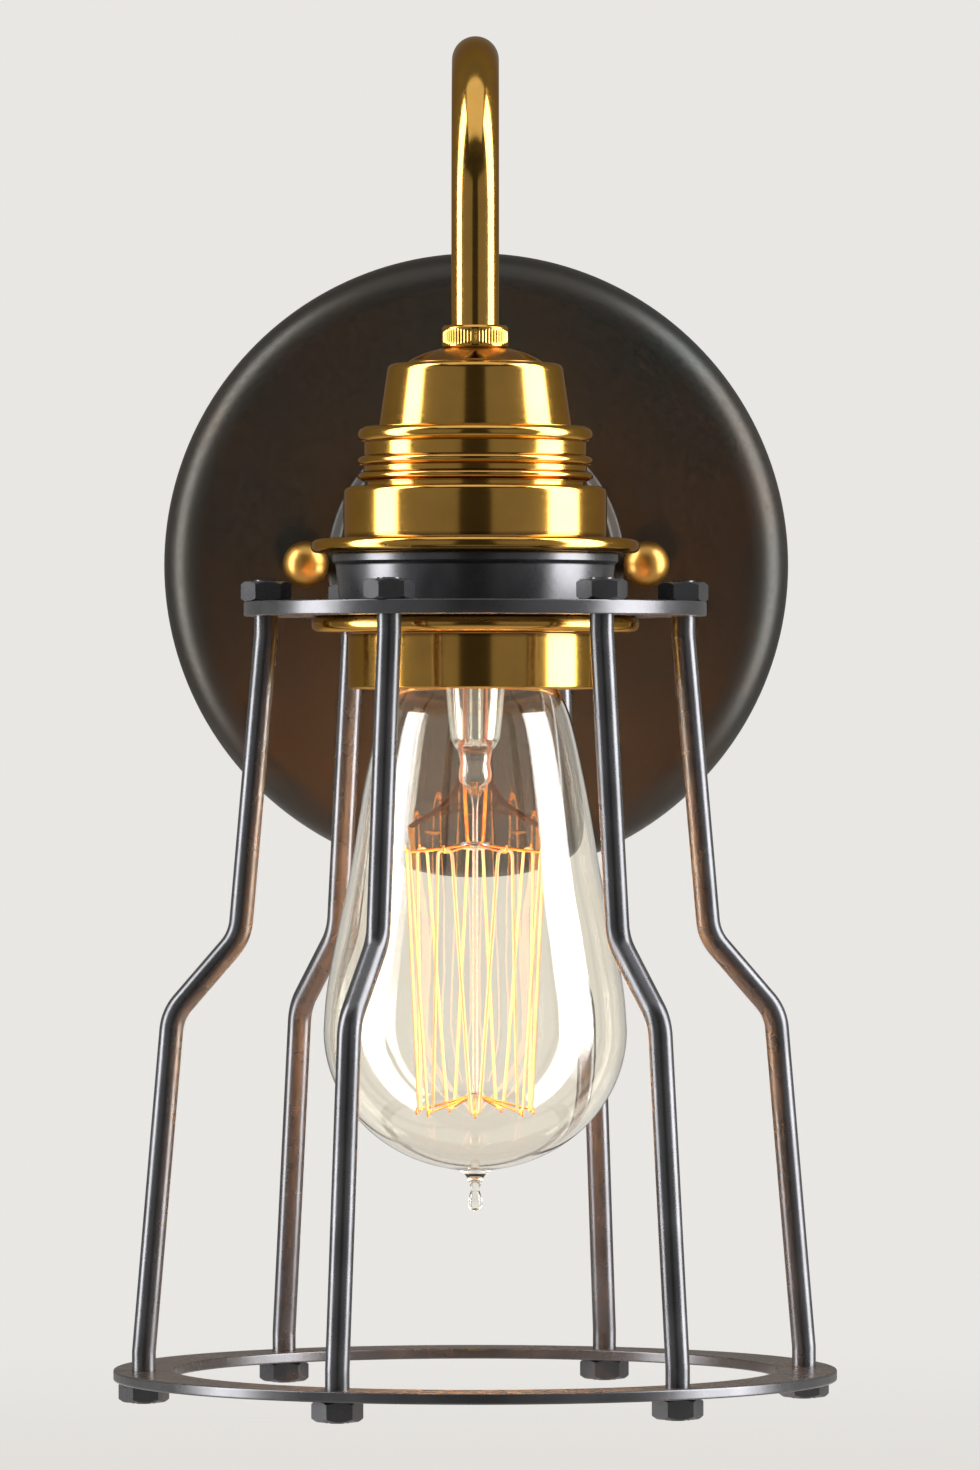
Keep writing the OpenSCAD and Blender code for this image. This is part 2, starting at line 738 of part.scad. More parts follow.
// Round bar through the stations, in the x-z plane
module bent_bar(stations, r) {
    n = bar_sides;
    m = len(stations);
    points = [for (s = stations) for (k = [0 : n - 1]) let(
            out = r * cos(360 * k / n) * left_of(s[1])
        )
        [s[0][0] + out[0], r * sin(360 * k / n), s[0][1] + out[1]]];
    polyhedron(points, concat(
        [[for (k = [n - 1 : -1 : 0]) k], [for (k = [0 : n - 1]) (m - 1) * n + k]],
        [for (j = [0 : m - 2]) for (k = [0 : n - 1]) let(a = j * n + k, b = j * n + (k + 1) % n) each
            [[a, b, a + n], [b, b + n, a + n]]]));
}

module cage_rod(i) {
    foot = rod_corners[len(rod_corners) - 1];
    color(dark_steel) on_lamp_axis() rotate([0, 0, cage_turn + (i - 1) * 360 / rod_count]) {
        bent_bar(rod_stations(rod_corners, rod_bend_r), rod_r);
        translate([rod_corners[0][0], 0, clamp_z - 1])
            cylinder(r = thread_r, h = 1 + top_ring_t + nut_h + thread_proud);
        translate([foot[0], 0, foot_ring_z - nut_h - thread_proud])
            cylinder(r = thread_r, h = 1 + foot_ring_t + nut_h + thread_proud);
    }
}

// ---- Bulb ----

// Tip contact of the bulb, which travels but shows no turn
module bulb_contact() {
    pip_top_z = insulator_top_z + pip_side[len(pip_side) - 1][1];
    color(zinc) on_lamp_axis() rotate_extrude() polygon(concat(
        [[0, insulator_top_z]],
        [for (p = pip_side) [pip_r - p[0], insulator_top_z + p[1]]],
        [[0, pip_top_z]]));
}

module bulb_insulator() {
    color("#1d1d22") on_lamp_axis() rotate_extrude() polygon([
        [0, cap_top_z], [insulator_r, cap_top_z], [insulator_r - insulator_edge, cap_top_z + insulator_edge],
        [pip_r + insulator_lip, insulator_top_z], [0, insulator_top_z]]);
}

// Rolled screw cap: the thread shows as its rounded turns
module bulb_cap() {
    thread_l = thread_top_z - thread_foot_z;
    inside_r = cap_r - thread_depth - cap_wall;
    turns = [for (i = [0 : thread_steps]) let(down = thread_l * i / thread_steps)
        [cap_r - thread_depth / 2 * (1 - cos(360 * down / thread_pitch)), thread_top_z - down]];
    color("#c4c2bb") on_lamp_axis() rotate_extrude() polygon(concat(
        [[0, cap_top_z], [cap_r - cap_shoulder, cap_top_z]], turns,
        [[cap_plain_r, thread_foot_z - thread_depth], [cap_plain_r, cap_foot_z]],
        [[cap_plain_r - cap_wall, cap_foot_z], [inside_r, thread_foot_z]],
        [[inside_r, thread_top_z - cap_wall], [0, cap_top_z - cap_wall]]));
}

// Outside of the glass from the widest place to the closed end, grown inwards by t
function glass_dome(t) = [for (i = [1 : dome_steps]) let(a = 90 * i / dome_steps)
    [(bulb_r - t) * cos(a), glass_side[len(glass_side) - 1][1] - (dome_h - t) * sin(a)]];

module bulb_glass() {
    side = smooth(glass_side, glass_steps);
    widest_z = glass_side[len(glass_side) - 1][1];
    color("#e8e4d8", 0.35) on_lamp_axis() rotate_extrude($fn = 96) polygon(concat(
        [[neck_glass_r, neck_glass_top]], side,
        [for (p = glass_dome(0)) if (p[0] > tip_root_r) p],
        [[tip_waist_r, widest_z - dome_h - tip_waist_drop], [tip_neck_r, tip_neck_z]],
        arc(0, tip_foot_z + tip_r, tip_r, 50, -90, 8),
        [for (i = [dome_steps : -1 : 1]) glass_dome(glass_t)[i - 1]],
        [for (i = [len(side) - 1 : -1 : 0]) side[i] - [glass_t, 0]],
        [[neck_glass_r - glass_t, neck_glass_top]]));
}

// Glass mount: flare, stem, pinch and the post that carries the two hook buttons
module bulb_stem() {
    flare = smooth(flare_side, flare_steps);
    edge = button_h / 2;
    color("#dfe6e4", 0.4) on_lamp_axis() rotate_extrude() polygon(concat(
        [for (i = [len(flare) - 1 : -1 : 0]) flare[i] - [glass_t, 0]], flare,
        [[pinch_r, pinch_top_z], [pinch_r, pinch_foot_z], [press_foot_r, press_foot_z], [post_r, post_z]],
        [[post_r, upper_button_z + edge]],
        arc(upper_button_r - edge, upper_button_z, edge, 90, -90, 6),
        [[post_r, upper_button_z - edge], [post_r, lower_button_z + edge]],
        arc(lower_button_r - edge, lower_button_z, edge, 90, -90, 6),
        [[0, lower_button_z - edge], [0, stem_foot_z - flare_floor]]));
}

// Angle of an upper hook; the lower hooks are half a step further round
function hook_angle(i) = 90 + i * 360 / hook_count;

// Corner i of the strand: two for each loop, upper and lower loops in turn
function strand_corner(i) = let(
        loop = floor(i / 2),
        upper = loop % 2 == 0,
        r = upper ? filament_r : filament_foot_r,
        side = (i % 2 == 0 ? -1 : 1) * (upper ? upper_loop : lower_loop)
    )
    around(r, hook_angle(loop / 2) + atan2(side, r), upper ? filament_top_z : filament_foot_z);

// Two wires down the hollow stem, through the glass pinch, out to the filament's ends
module lead_wires() {
    color(copper) on_lamp_axis() for (side = [-1, 1]) {
        wire_through([strand_corner(side < 0 ? 1 : 4 * hook_count), [side * lead_x, 0, lead_bend_z],
                      [side * lead_x, 0, lead_top_z]], lead_wire_r);
    }
}

// Hooks from the two buttons; the two leads stand in for the first upper one
module filament_hooks() {
    color(copper) on_lamp_axis() for (i = [0 : hook_count - 1]) {
        if (i > 0) wire_between(around(upper_button_r - button_sink, hook_angle(i), upper_button_z),
            around(filament_r, hook_angle(i), filament_top_z - hook_wire_r), hook_wire_r);
        wire_between(around(lower_button_r - button_sink, hook_angle(i + 0.5), lower_button_z),
            around(filament_foot_r, hook_angle(i + 0.5), filament_foot_z + hook_wire_r), hook_wire_r);
    }
}

// One long strand, up and down between the upper and lower hooks, from lead to lead
module filament() {
    color("#ffb347") on_lamp_axis()
        wire_through([for (i = [1 : 4 * hook_count]) strand_corner(i)], filament_wire_r);
}

box_strap();
stud_strap();
pivot_screw();
earth_screw();
plate_studs();
wall_plate();
ball_nut(-1);  // ball_nut_left
ball_nut(1);  // ball_nut_right
arm_tube();
arm_front_nut();
arm_washer();
arm_lock_nut();
live_wire();
neutral_wire();
earth_wire();
neck_collar();
neck_nut();
vent_cap();
cone_shell();
ribbed_ring();
body_shell();
porcelain_core();
terminal_screws();
screw_shell();
centre_contact();
retaining_ring();
cage_collar();
cage_top_ring();
cage_top_nuts();
cage_foot_ring();
cage_foot_nuts();
for (i = [1 : rod_count]) cage_rod(i);
bulb_contact();
bulb_insulator();
bulb_cap();
bulb_glass();
bulb_stem();
lead_wires();
filament_hooks();
filament();
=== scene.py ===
"""Cage wall light with a bent brass arm, a brass lampholder and a steel rod cage.

The functions work in millimetres from the centre of the wall plate's back: x to the right, -y away
from the wall, z up. The properties are in metres, as Blender shows them. The lamp axis is the upright
line through the lampholder, the cage and the bulb. Outlines are half sections with (r, h) points: the
distance from the line that they are turned about and the height along it.
"""

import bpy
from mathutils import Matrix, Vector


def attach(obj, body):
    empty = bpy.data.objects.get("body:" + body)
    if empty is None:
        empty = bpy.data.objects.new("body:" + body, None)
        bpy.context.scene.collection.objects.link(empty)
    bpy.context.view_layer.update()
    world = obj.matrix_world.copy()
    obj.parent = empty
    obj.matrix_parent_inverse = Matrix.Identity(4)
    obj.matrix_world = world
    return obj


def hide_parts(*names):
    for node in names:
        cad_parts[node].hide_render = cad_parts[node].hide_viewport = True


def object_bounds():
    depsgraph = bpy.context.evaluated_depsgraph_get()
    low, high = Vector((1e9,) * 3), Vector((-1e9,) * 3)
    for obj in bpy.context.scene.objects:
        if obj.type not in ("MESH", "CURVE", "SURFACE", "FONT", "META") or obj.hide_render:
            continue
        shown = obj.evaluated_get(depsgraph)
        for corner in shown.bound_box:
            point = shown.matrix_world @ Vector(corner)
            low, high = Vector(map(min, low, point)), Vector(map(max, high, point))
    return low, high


bl_info = {
    "name": "Cage wall light",
    "version": (1, 0, 0),
    "blender": (4, 5, 0),
    "location": "3D View > Sidebar > Wall light",
    "description": "Builds the visual model of a cage wall light over its CAD frame",
    "category": "Add Mesh",
}

import functools
import math

import bmesh
import bpy
from bpy.props import FloatProperty, FloatVectorProperty, IntProperty, PointerProperty
from mathutils import Matrix, Vector

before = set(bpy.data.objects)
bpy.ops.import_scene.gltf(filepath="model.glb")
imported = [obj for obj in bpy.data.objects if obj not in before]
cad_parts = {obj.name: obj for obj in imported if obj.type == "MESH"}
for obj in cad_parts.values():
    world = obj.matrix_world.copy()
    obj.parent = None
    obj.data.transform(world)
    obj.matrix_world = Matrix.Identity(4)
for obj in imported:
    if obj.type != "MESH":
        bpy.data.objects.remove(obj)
cad_box = [list(corner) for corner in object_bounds()]

MM = 0.001

# places that several pieces share, in mm
LAMP_Y = -150.0
STUD_X = 38.0
NECK_Z = 42.8
CAP_FOOT = 39.7
CONE_FOOT = 26.5
RING_FOOT = 13.9
COLLAR_FOOT = -10.2
CLAMP_Z = -13.2
SLEEVE_FOOT = -26.0

LAMP_AXIS = (0.0, LAMP_Y * MM, 0.0)

# sides of the turned pieces
TURNS = 160
WIDE_TURNS = 192
SMALL_TURNS = 96
HOLE_TURNS = 32

# an edge shows where the surface turns by more than this, in degrees
SHARP = 35.0


def mm(metres):
    """A property's length in millimetres."""
    return metres / MM


def linear(colour):
    """Linear RGBA of an sRGB hex code such as #a98636."""
    parts = [int(colour[i : i + 2], 16) / 255 for i in (1, 3, 5)]
    curve = [c / 12.92 if c <= 0.04045 else ((c + 0.055) / 1.055) ** 2.4 for c in parts]
    return (*curve, 1.0)


# ---- Sizes and colours that a user can change ----


def length(name, description, default):
    """A length in metres."""
    return FloatProperty(name=name, description=description, default=default, unit="LENGTH")


def tint(name, description, code):
    """A colour whose default is an sRGB hex code."""
    return FloatVectorProperty(
        name=name, description=description, default=linear(code), subtype="COLOR", size=4, min=0, max=1
    )


def group(kind, name, description):
    """A group of properties."""
    return PointerProperty(type=kind, name=name, description=description)


class WallLightPlate(bpy.types.PropertyGroup):
    diameter: length("Plate diameter", "Diameter of the wall plate", 0.140)
    depth: length("Plate depth", "From the wall to the plate's flat front", 0.022)
    shoulder: length("Shoulder radius", "Radius of the rounded shoulder", 0.009)
    boss: length("Boss diameter", "Diameter of the raised boss", 0.064)
    rise: length("Boss height", "Height of the boss above the flat front", 0.003)
    ball: length("Ball nut diameter", "Diameter of the two ball cap nuts", 0.0102)


class WallLightArm(bpy.types.PropertyGroup):
    diameter: length("Tube diameter", "Outside diameter of the arm tube", 0.010)
    wall: length("Tube wall", "Wall thickness of the arm tube", 0.001)
    hook: length("Hook radius", "Centreline radius of the hook bend", 0.036)
    height: length("Hook height", "Height of the hook bend's centre", 0.070)
    riser: length("Lower bend radius", "Centreline radius of the lower bend", 0.027)


class WallLightHolder(bpy.types.PropertyGroup):
    flange: length("Flange diameter", "Diameter of the two brass flanges", 0.069)
    body: length("Body diameter", "Diameter of the brass body", 0.0553)
    skirt: length("Skirt diameter", "Diameter of the smooth skirt", 0.0539)
    beads: length("Bead diameter", "Diameter of the ribbed ring's beads", 0.0495)
    vents: IntProperty(name="Vents", description="Number of air vents", default=6, min=3, max=8)


class WallLightCage(bpy.types.PropertyGroup):
    rods: IntProperty(name="Rods", description="Number of rods in the cage", default=6, min=6, max=6)
    rod: length("Rod diameter", "Diameter of a cage rod", 0.005)
    turn: FloatProperty(
        name="Turn", description="How far the cage is turned about the lamp axis",
        default=math.radians(6.4), subtype="ANGLE",
    )
    top: length("Top ring diameter", "Diameter of the flat top ring", 0.097)
    foot: length("Foot ring diameter", "Diameter of the flat foot ring", 0.1516)
    nut: length("Nut across flats", "Width of a rod nut over its flats", 0.0092)


class WallLightBulb(bpy.types.PropertyGroup):
    diameter: length("Bulb diameter", "Greatest diameter of the glass", 0.0636)
    cap: length("Cap diameter", "Diameter of the screw cap over its thread", 0.026)
    filament: length("Filament radius", "Radius of the ring of strands", 0.0145)
    hooks: IntProperty(name="Hooks", description="Number of upper filament hooks", default=7, min=5, max=9)


class WallLightFinish(bpy.types.PropertyGroup):
    brass: tint("Brass", "Polished parts of the antique brass", "#d8a54c")
    # in the hollow corners this tone is also painted shade
    brass_shade: tint("Brass patina", "Darker patina in the grooves of the brass", "#815c28")
    steel: tint("Cage steel", "Blackened steel of the cage", "#646467")
    plate: tint("Plate", "Dark bronzed steel of the wall plate", "#2e302e")
    glow: tint("Filament core", "Middle of the glowing strands", "#ffcf98")
    glow_edge: tint("Filament edge", "Edge of the glowing strands", "#e07a1e")
    glow_light: tint("Filament light", "Light of the strands on the parts round them", "#f0a050")


class WallLightStage(bpy.types.PropertyGroup):
    paper: tint("Floor and background", "Pale colour of the floor and background", "#e9e7e3")
    drop: length("Floor distance", "Gap between the cage's foot and the floor", 0.045)


class WallLightSettings(bpy.types.PropertyGroup):
    plate: group(WallLightPlate, "Wall plate", "Sizes of the wall plate")
    arm: group(WallLightArm, "Arm", "Sizes of the arm")
    holder: group(WallLightHolder, "Lampholder", "Sizes of the lampholder")
    cage: group(WallLightCage, "Cage", "Sizes of the cage")
    bulb: group(WallLightBulb, "Bulb", "Sizes of the bulb")
    finish: group(WallLightFinish, "Finishes", "Colours of the finishes")
    stage: group(WallLightStage, "Stage", "Floor and background")


# ---- Node helpers ----


def set_inputs(node, inputs):
    """Sets each input, by name or index, to a value, a socket or a node's first output."""
    for key, value in inputs.items():
        if isinstance(value, bpy.types.Node):
            value = value.outputs[0]
        if isinstance(value, bpy.types.NodeSocket):
            node.id_data.links.new(value, node.inputs[key])
        else:
            node.inputs[key].default_value = value


def add_node(tree, kind, inputs=None, **settings):
    """Adds a node with its settings and inputs."""
    node = tree.nodes.new(kind)
    for key, value in settings.items():
        setattr(node, key, value)
    set_inputs(node, inputs or {})
    return node


def calculate(tree, operation, *values):
    """A Math node's result."""
    return add_node(tree, "ShaderNodeMath", dict(enumerate(values)), operation=operation).outputs[0]


def vector_math(tree, operation, *values):
    """A Vector Math node."""
    return add_node(tree, "ShaderNodeVectorMath", dict(enumerate(values)), operation=operation)


def new_tree(name, *sockets):
    """A Geometry Nodes tree with a geometry input and the named inputs."""
    tree = bpy.data.node_groups.new(name, "GeometryNodeTree")
    for label, kind in (("Geometry", "Geometry"), *sockets, ("Material", "Material")):
        tree.interface.new_socket(label, in_out="INPUT", socket_type="NodeSocket" + kind)
    tree.interface.new_socket("Geometry", in_out="OUTPUT", socket_type="NodeSocketGeometry")
    return tree, tree.nodes.new("NodeGroupInput").outputs


def end_tree(tree, geometry, given):
    """Ends a tree in Realize Instances and Set Material."""
    real = add_node(tree, "GeometryNodeRealizeInstances", {0: geometry})
    dressed = add_node(tree, "GeometryNodeSetMaterial", {"Geometry": real, "Material": given["Material"]})
    add_node(tree, "NodeGroupOutput", {0: dressed})


def point_value(tree, name):
    """A number that each point carries."""
    return add_node(tree, "GeometryNodeInputNamedAttribute", {"Name": name}, data_type="FLOAT").outputs[0]


def fillet(tree, line, radius, steps, limit=False):
    """A bent line with rounded bends."""
    inputs = {"Curve": line, "Count": steps, "Radius": radius, "Limit Radius": limit}
    return add_node(tree, "GeometryNodeFilletCurve", inputs, mode="POLY")


def sweep(tree, line, radius, sides, caps=True):
    """A round section drawn along a line."""
    circle = add_node(
        tree, "GeometryNodeCurvePrimitiveCircle", {"Resolution": sides, "Radius": radius}, mode="RADIUS"
    )
    inputs = {"Curve": line, "Profile Curve": circle, "Fill Caps": caps}
    return add_node(tree, "GeometryNodeCurveToMesh", inputs)


def bar_tree():
    """Round bar or tube along a bent path: each path point carries its bend radius and thickness."""
    tree, given = new_tree(
        "Bent bar", ("Radius", "Float"), ("Wall", "Float"), ("Sides", "Int"), ("Bend Steps", "Int")
    )
    line = add_node(tree, "GeometryNodeMeshToCurve", {0: given["Geometry"]})
    bent = fillet(tree, line, point_value(tree, "bend"), given["Bend Steps"])
    thick = point_value(tree, "thick")
    sized = add_node(tree, "GeometryNodeSetCurveRadius", {"Curve": bent, "Radius": thick})
    full = sweep(tree, sized, given["Radius"], given["Sides"])
    skin = sweep(tree, sized, given["Radius"], given["Sides"], False)
    inward = calculate(tree, "MULTIPLY", given["Wall"], -1.0)
    inputs = {"Mesh": skin, "Offset Scale": inward, "Individual": False}
    bore = add_node(tree, "GeometryNodeExtrudeMesh", inputs, mode="FACES")
    outside = add_node(tree, "GeometryNodeFlipFaces", {"Mesh": skin})
    both = add_node(tree, "GeometryNodeJoinGeometry")
    for part in (bore, outside):
        tree.links.new(part.outputs[0], both.inputs[0])
    tube = add_node(tree, "GeometryNodeMergeByDistance", {"Geometry": both, "Distance": 0.01 * MM})
    hollow = calculate(tree, "GREATER_THAN", given["Wall"], 0.0)
    shape = add_node(
        tree, "GeometryNodeSwitch", {"Switch": hollow, "False": full, "True": tube}, input_type="GEOMETRY"
    )
    end_tree(tree, shape, given)
    return tree


def around_tree():
    """Copies of one part, turned evenly about the lamp axis."""
    tree, given = new_tree(
        "Around the lamp axis", ("Part", "Object"), ("Count", "Int"), ("Turn", "Float"), ("Axis", "Vector")
    )
    inputs = {"Count": given["Count"], "Start Location": given["Axis"], "Offset": (0.0, 0.0, 0.0)}
    line = add_node(tree, "GeometryNodeMeshLine", inputs, mode="OFFSET")
    step = calculate(tree, "DIVIDE", 2 * math.pi, given["Count"])
    index = add_node(tree, "GeometryNodeInputIndex").outputs[0]
    euler = add_node(
        tree, "ShaderNodeCombineXYZ", {"Z": calculate(tree, "MULTIPLY_ADD", index, step, given["Turn"])}
    )
    rotation = add_node(tree, "FunctionNodeEulerToRotation", {0: euler})
    part = add_node(tree, "GeometryNodeObjectInfo", {"Object": given["Part"], "As Instance": True})
    copies = add_node(
        tree, "GeometryNodeInstanceOnPoints",
        {"Points": line, "Instance": part.outputs["Geometry"], "Rotation": rotation},
    )
    end_tree(tree, copies, given)
    return tree


def relief_tree():
    """Raised ribs on a turned piece: Around sets how many stand round it, Pitch winds them as a thread."""
    tree, given = new_tree(
        "Ribs and threads", ("Around", "Float"), ("Pitch", "Float"), ("Depth", "Float"), ("Axis", "Vector"),
        ("From", "Float"), ("To", "Float"), ("Fade", "Float"),
    )
    calc = functools.partial(calculate, tree)
    place = add_node(tree, "GeometryNodeInputPosition")
    local = vector_math(tree, "SUBTRACT", place, given["Axis"])
    x, y, height = add_node(tree, "ShaderNodeSeparateXYZ", {0: local}).outputs
    angle = calc("ARCTAN2", y, x)
    wound = calc("DIVIDE", calc("MULTIPLY", height, 2 * math.pi), given["Pitch"])
    phase = calc("MULTIPLY_ADD", angle, given["Around"], wound)
    wave = calc("MULTIPLY_ADD", calc("COSINE", phase), 0.5, -0.5)
    ends = []
    for edge, way in (("From", 1.0), ("To", -1.0)):
        gone = calc("MULTIPLY", calc("SUBTRACT", height, given[edge]), way)
        inputs = {"Value": gone, "From Max": given["Fade"]}
        ends.append(add_node(tree, "ShaderNodeMapRange", inputs).outputs[0])
    strength = calc("MULTIPLY", calc("MULTIPLY", *ends), given["Depth"])
    outward = vector_math(tree, "NORMALIZE", vector_math(tree, "MULTIPLY", local, (1.0, 1.0, 0.0)))
    inputs = {0: outward, "Scale": calc("MULTIPLY", wave, strength)}
    push = add_node(tree, "ShaderNodeVectorMath", inputs, operation="SCALE")
    moved = add_node(tree, "GeometryNodeSetPosition", {"Geometry": given["Geometry"], "Offset": push})
    end_tree(tree, moved, given)
    return tree


def strand_tree():
    """One wire up and down between two rings of hooks, with a narrow loop over each hook."""
    tree, given = new_tree(
        "Filament strands", ("Hooks", "Int"), ("Upper Radius", "Float"), ("Upper Height", "Float"),
        ("Upper Loop", "Float"), ("Foot Radius", "Float"), ("Foot Height", "Float"), ("Foot Loop", "Float"),
        ("Turn", "Float"), ("Axis", "Vector"), ("Wire Radius", "Float"),
    )
    calc = functools.partial(calculate, tree)
    bend_share, bend_steps, wire_sides = 0.45, 5, 10
    # each hook, upper or lower, holds the wire at the two sides of its loop
    count = calc("MULTIPLY", given["Hooks"], 4.0)
    inputs = {"Count": count, "Offset": (0.0, 0.0, 0.0)}
    line = add_node(tree, "GeometryNodeMeshLine", inputs, mode="OFFSET")
    # the wire starts and ends at the sides of the first loop, where the two leads hold it
    index = calc("ADD", add_node(tree, "GeometryNodeInputIndex").outputs[0], 1.0)
    hook = calc("FLOOR", calc("DIVIDE", index, 2.0))
    at_foot = calc("MODULO", hook, 2.0)
    second = calc("MODULO", index, 2.0)

    def either(measure):
        ends = {0: at_foot, 2: given["Upper " + measure], 3: given["Foot " + measure]}
        return add_node(tree, "ShaderNodeMix", ends, data_type="FLOAT").outputs[0]

    radius, loop = either("Radius"), either("Loop")
    step = calc("DIVIDE", math.pi, given["Hooks"])
    middle = calc("MULTIPLY_ADD", hook, step, given["Turn"])
    side = calc("SUBTRACT", second, 0.5)
    angle = calc("MULTIPLY_ADD", side, calc("DIVIDE", loop, radius), middle)
    x, y = (calc("MULTIPLY", calc(wave, angle), radius) for wave in ("COSINE", "SINE"))
    spot = add_node(tree, "ShaderNodeCombineXYZ", {"X": x, "Y": y, "Z": either("Height")})
    there = vector_math(tree, "ADD", spot, given["Axis"])
    placed = add_node(tree, "GeometryNodeSetPosition", {"Geometry": line, "Position": there})
    curve = add_node(tree, "GeometryNodeMeshToCurve", {0: placed})
    bent = fillet(tree, curve, calc("MULTIPLY", loop, bend_share), bend_steps, True)
    end_tree(tree, sweep(tree, bent, given["Wire Radius"], wire_sides), given)
    return tree


TREES = {
    "Bent bar": bar_tree,
    "Around the lamp axis": around_tree,
    "Ribs and threads": relief_tree,
    "Filament strands": strand_tree,
}


# ---- Mesh helpers ----


def new_object(name, mesh):
    made = bpy.data.objects.new(name, mesh)
    bpy.context.scene.collection.objects.link(made)
    return made


def tidy_mesh(mesh, sharp=SHARP):
    """Faces outward, smooth, with an edge where the surface turns by more than the sharp angle."""
    shape = bmesh.new()
    shape.from_mesh(mesh)
    bmesh.ops.recalc_face_normals(shape, faces=shape.faces)
    shape.to_mesh(mesh)
    shape.free()
    mesh.shade_smooth()
    mesh.set_sharp_from_angle(angle=math.radians(sharp))


def plain(made, sharp=SHARP):
    """Turns an object and its modifiers into a plain mesh."""
    depsgraph = bpy.context.evaluated_depsgraph_get()
    mesh = bpy.data.meshes.new_from_object(made.evaluated_get(depsgraph))
    made.modifiers.clear()
    made.data = mesh
    mesh.name = made.name
    tidy_mesh(mesh, sharp)
    return made


def grow(name, tree_name, values, base=None, sharp=SHARP):
    """Runs a tree on a piece, or on nothing, and keeps its result as a plain mesh."""
    made = base or new_object(name, bpy.data.meshes.new(name))
    made.name = name
    tree = bpy.data.node_groups.get(tree_name) or TREES[tree_name]()
    modifier = made.modifiers.new("Shape", "NODES")
    modifier.node_group = tree
    for item in tree.interface.items_tree:
        if item.in_out == "INPUT" and item.name in values:
            modifier[item.identifier] = values[item.name]
    return plain(made, sharp)


def cut(made, tools, operation="DIFFERENCE", sharp=SHARP):
    """Cuts the tools out of a piece, or keeps what they share, and removes the tools."""
    for tool in tools:
        modifier = made.modifiers.new("Cut", "BOOLEAN")
        modifier.operation = operation
        modifier.solver = "EXACT"
        modifier.object = tool
    plain(made, sharp)
    for tool in tools:
        bpy.data.objects.remove(tool)
    return made


def carry(mesh, name, values):
    """Gives each point of a mesh a number."""
    mesh.attributes.new(name, "FLOAT", "POINT").data.foreach_set("value", values)


def arc(x, y, radius, first, last, steps):
    """Points on an arc from the first to the last angle, in degrees."""
    angles = [math.radians(first + (last - first) * k / steps) for k in range(steps + 1)]
    return [(x + radius * math.cos(a), y + radius * math.sin(a)) for a in angles]


def smooth_line(points, steps):
    """Points of a smooth curve through the given (r, h) points."""
    spots = [Vector(p) for p in points]
    out = []
    for i in range(len(spots) - 1):
        p0, p1, p2 = spots[max(i - 1, 0)], spots[i], spots[i + 1]
        p3 = spots[min(i + 2, len(spots) - 1)]
        for s in range(steps):
            t = s / steps
            out.append(
                0.5 * (2 * p1 + (p2 - p0) * t + (2 * p0 - 5 * p1 + 4 * p2 - p3) * t * t
                       + (3 * p1 - p0 - 3 * p2 + p3) * t * t * t)
            )
    return [tuple(p) for p in [*out, spots[-1]]]


def sharp_corners(points):
    """The (r, h) points of a curve as corners that stay as they are."""
    return [(*p, 0) for p in points]


def rounded(points, steps=4):
    """Outline with rounded corners, from (r, h, corner radius) points and, on the axis, (r, h) points.

    Each result is (r, h, groove), where groove is 1 in the hollow corners, which the materials darken with
    patina and painted shade. A point beside each corner keeps the shading of the flat faces flat.
    """
    side_share, straight, least = 0.45, math.radians(14), 0.02
    spots = [Vector(p[:2]) for p in points]
    count = len(spots)
    way = 1 if sum(spots[i - 1].cross(spots[i]) for i in range(count)) > 0 else -1
    section = []
    for i, here in enumerate(spots):
        into = here - spots[i - 1]
        away = spots[(i + 1) % count] - here
        room = side_share * min(into.length, away.length)
        into.normalize()
        away.normalize()
        angle = math.atan2(into.cross(away), into.dot(away))
        radius = points[i][2] if len(points[i]) > 2 else 0
        if radius <= 0 or abs(angle) < straight:
            section.append((here.x, here.y, 0.0))
            continue
        back = radius * math.tan(abs(angle) / 2)
        if back > room:
            radius *= room / back
            back = room
        side = 1 if angle > 0 else -1
        groove = 1.0 if side != way else 0.0
        start = here - into * back
        centre = start + Vector((-into.y, into.x)) * side * radius
        # the groove's patina and painted shade fade out over 0.9 mm
        guard = min(room - back, 0.9 if groove else 0.3 * radius + 0.08)
        if guard > least:
            section.append((*(start - into * guard), 0.0))
        bits = max(2, math.ceil(abs(angle) / math.radians(90 / steps)))
        for k in range(bits + 1):
            section.append((*(centre + Matrix.Rotation(angle * k / bits, 2) @ (start - centre)), groove))
        if guard > least:
            section.append((*(here + away * (back + guard)), 0.0))
    return section


def solid(name, places, faces, groove=None, sharp=SHARP):
    """Closed mesh from places in mm."""
    mesh = bpy.data.meshes.new(name)
    mesh.from_pydata([Vector(p) * MM for p in places], [], faces)
    if groove:
        carry(mesh, "groove", groove)
    tidy_mesh(mesh, sharp)
    return new_object(name, mesh)


def lathe(name, section, turns=TURNS, centre=(0.0, LAMP_Y), from_wall=False, sharp=SHARP):
    """Turns a closed outline about the lamp axis, or about a line that stands out from the wall."""
    places, groove, rows = [], [], []
    for spot in section:
        r, h = spot[:2]
        row = []
        for k in range(turns if r > 1e-6 else 1):
            a = 2 * math.pi * k / turns
            row.append(len(places))
            x, y = centre[0] + r * math.cos(a), centre[1] + r * math.sin(a)
            places.append((x, -h, y) if from_wall else (x, y, h))
            groove.append(spot[2] if len(spot) > 2 else 0.0)
        rows.append(row)
    faces = []
    for a, b in zip(rows, rows[1:] + rows[:1]):
        for k in range(turns):
            n = (k + 1) % turns
            if len(a) > 1 and len(b) > 1:
                faces.append((a[k], b[k], b[n], a[n]))
            elif len(b) > 1:
                faces.append((a[0], b[k], b[n]))
            elif len(a) > 1:
                faces.append((a[k], b[0], a[n]))
    return solid(name, places, faces, groove, sharp)


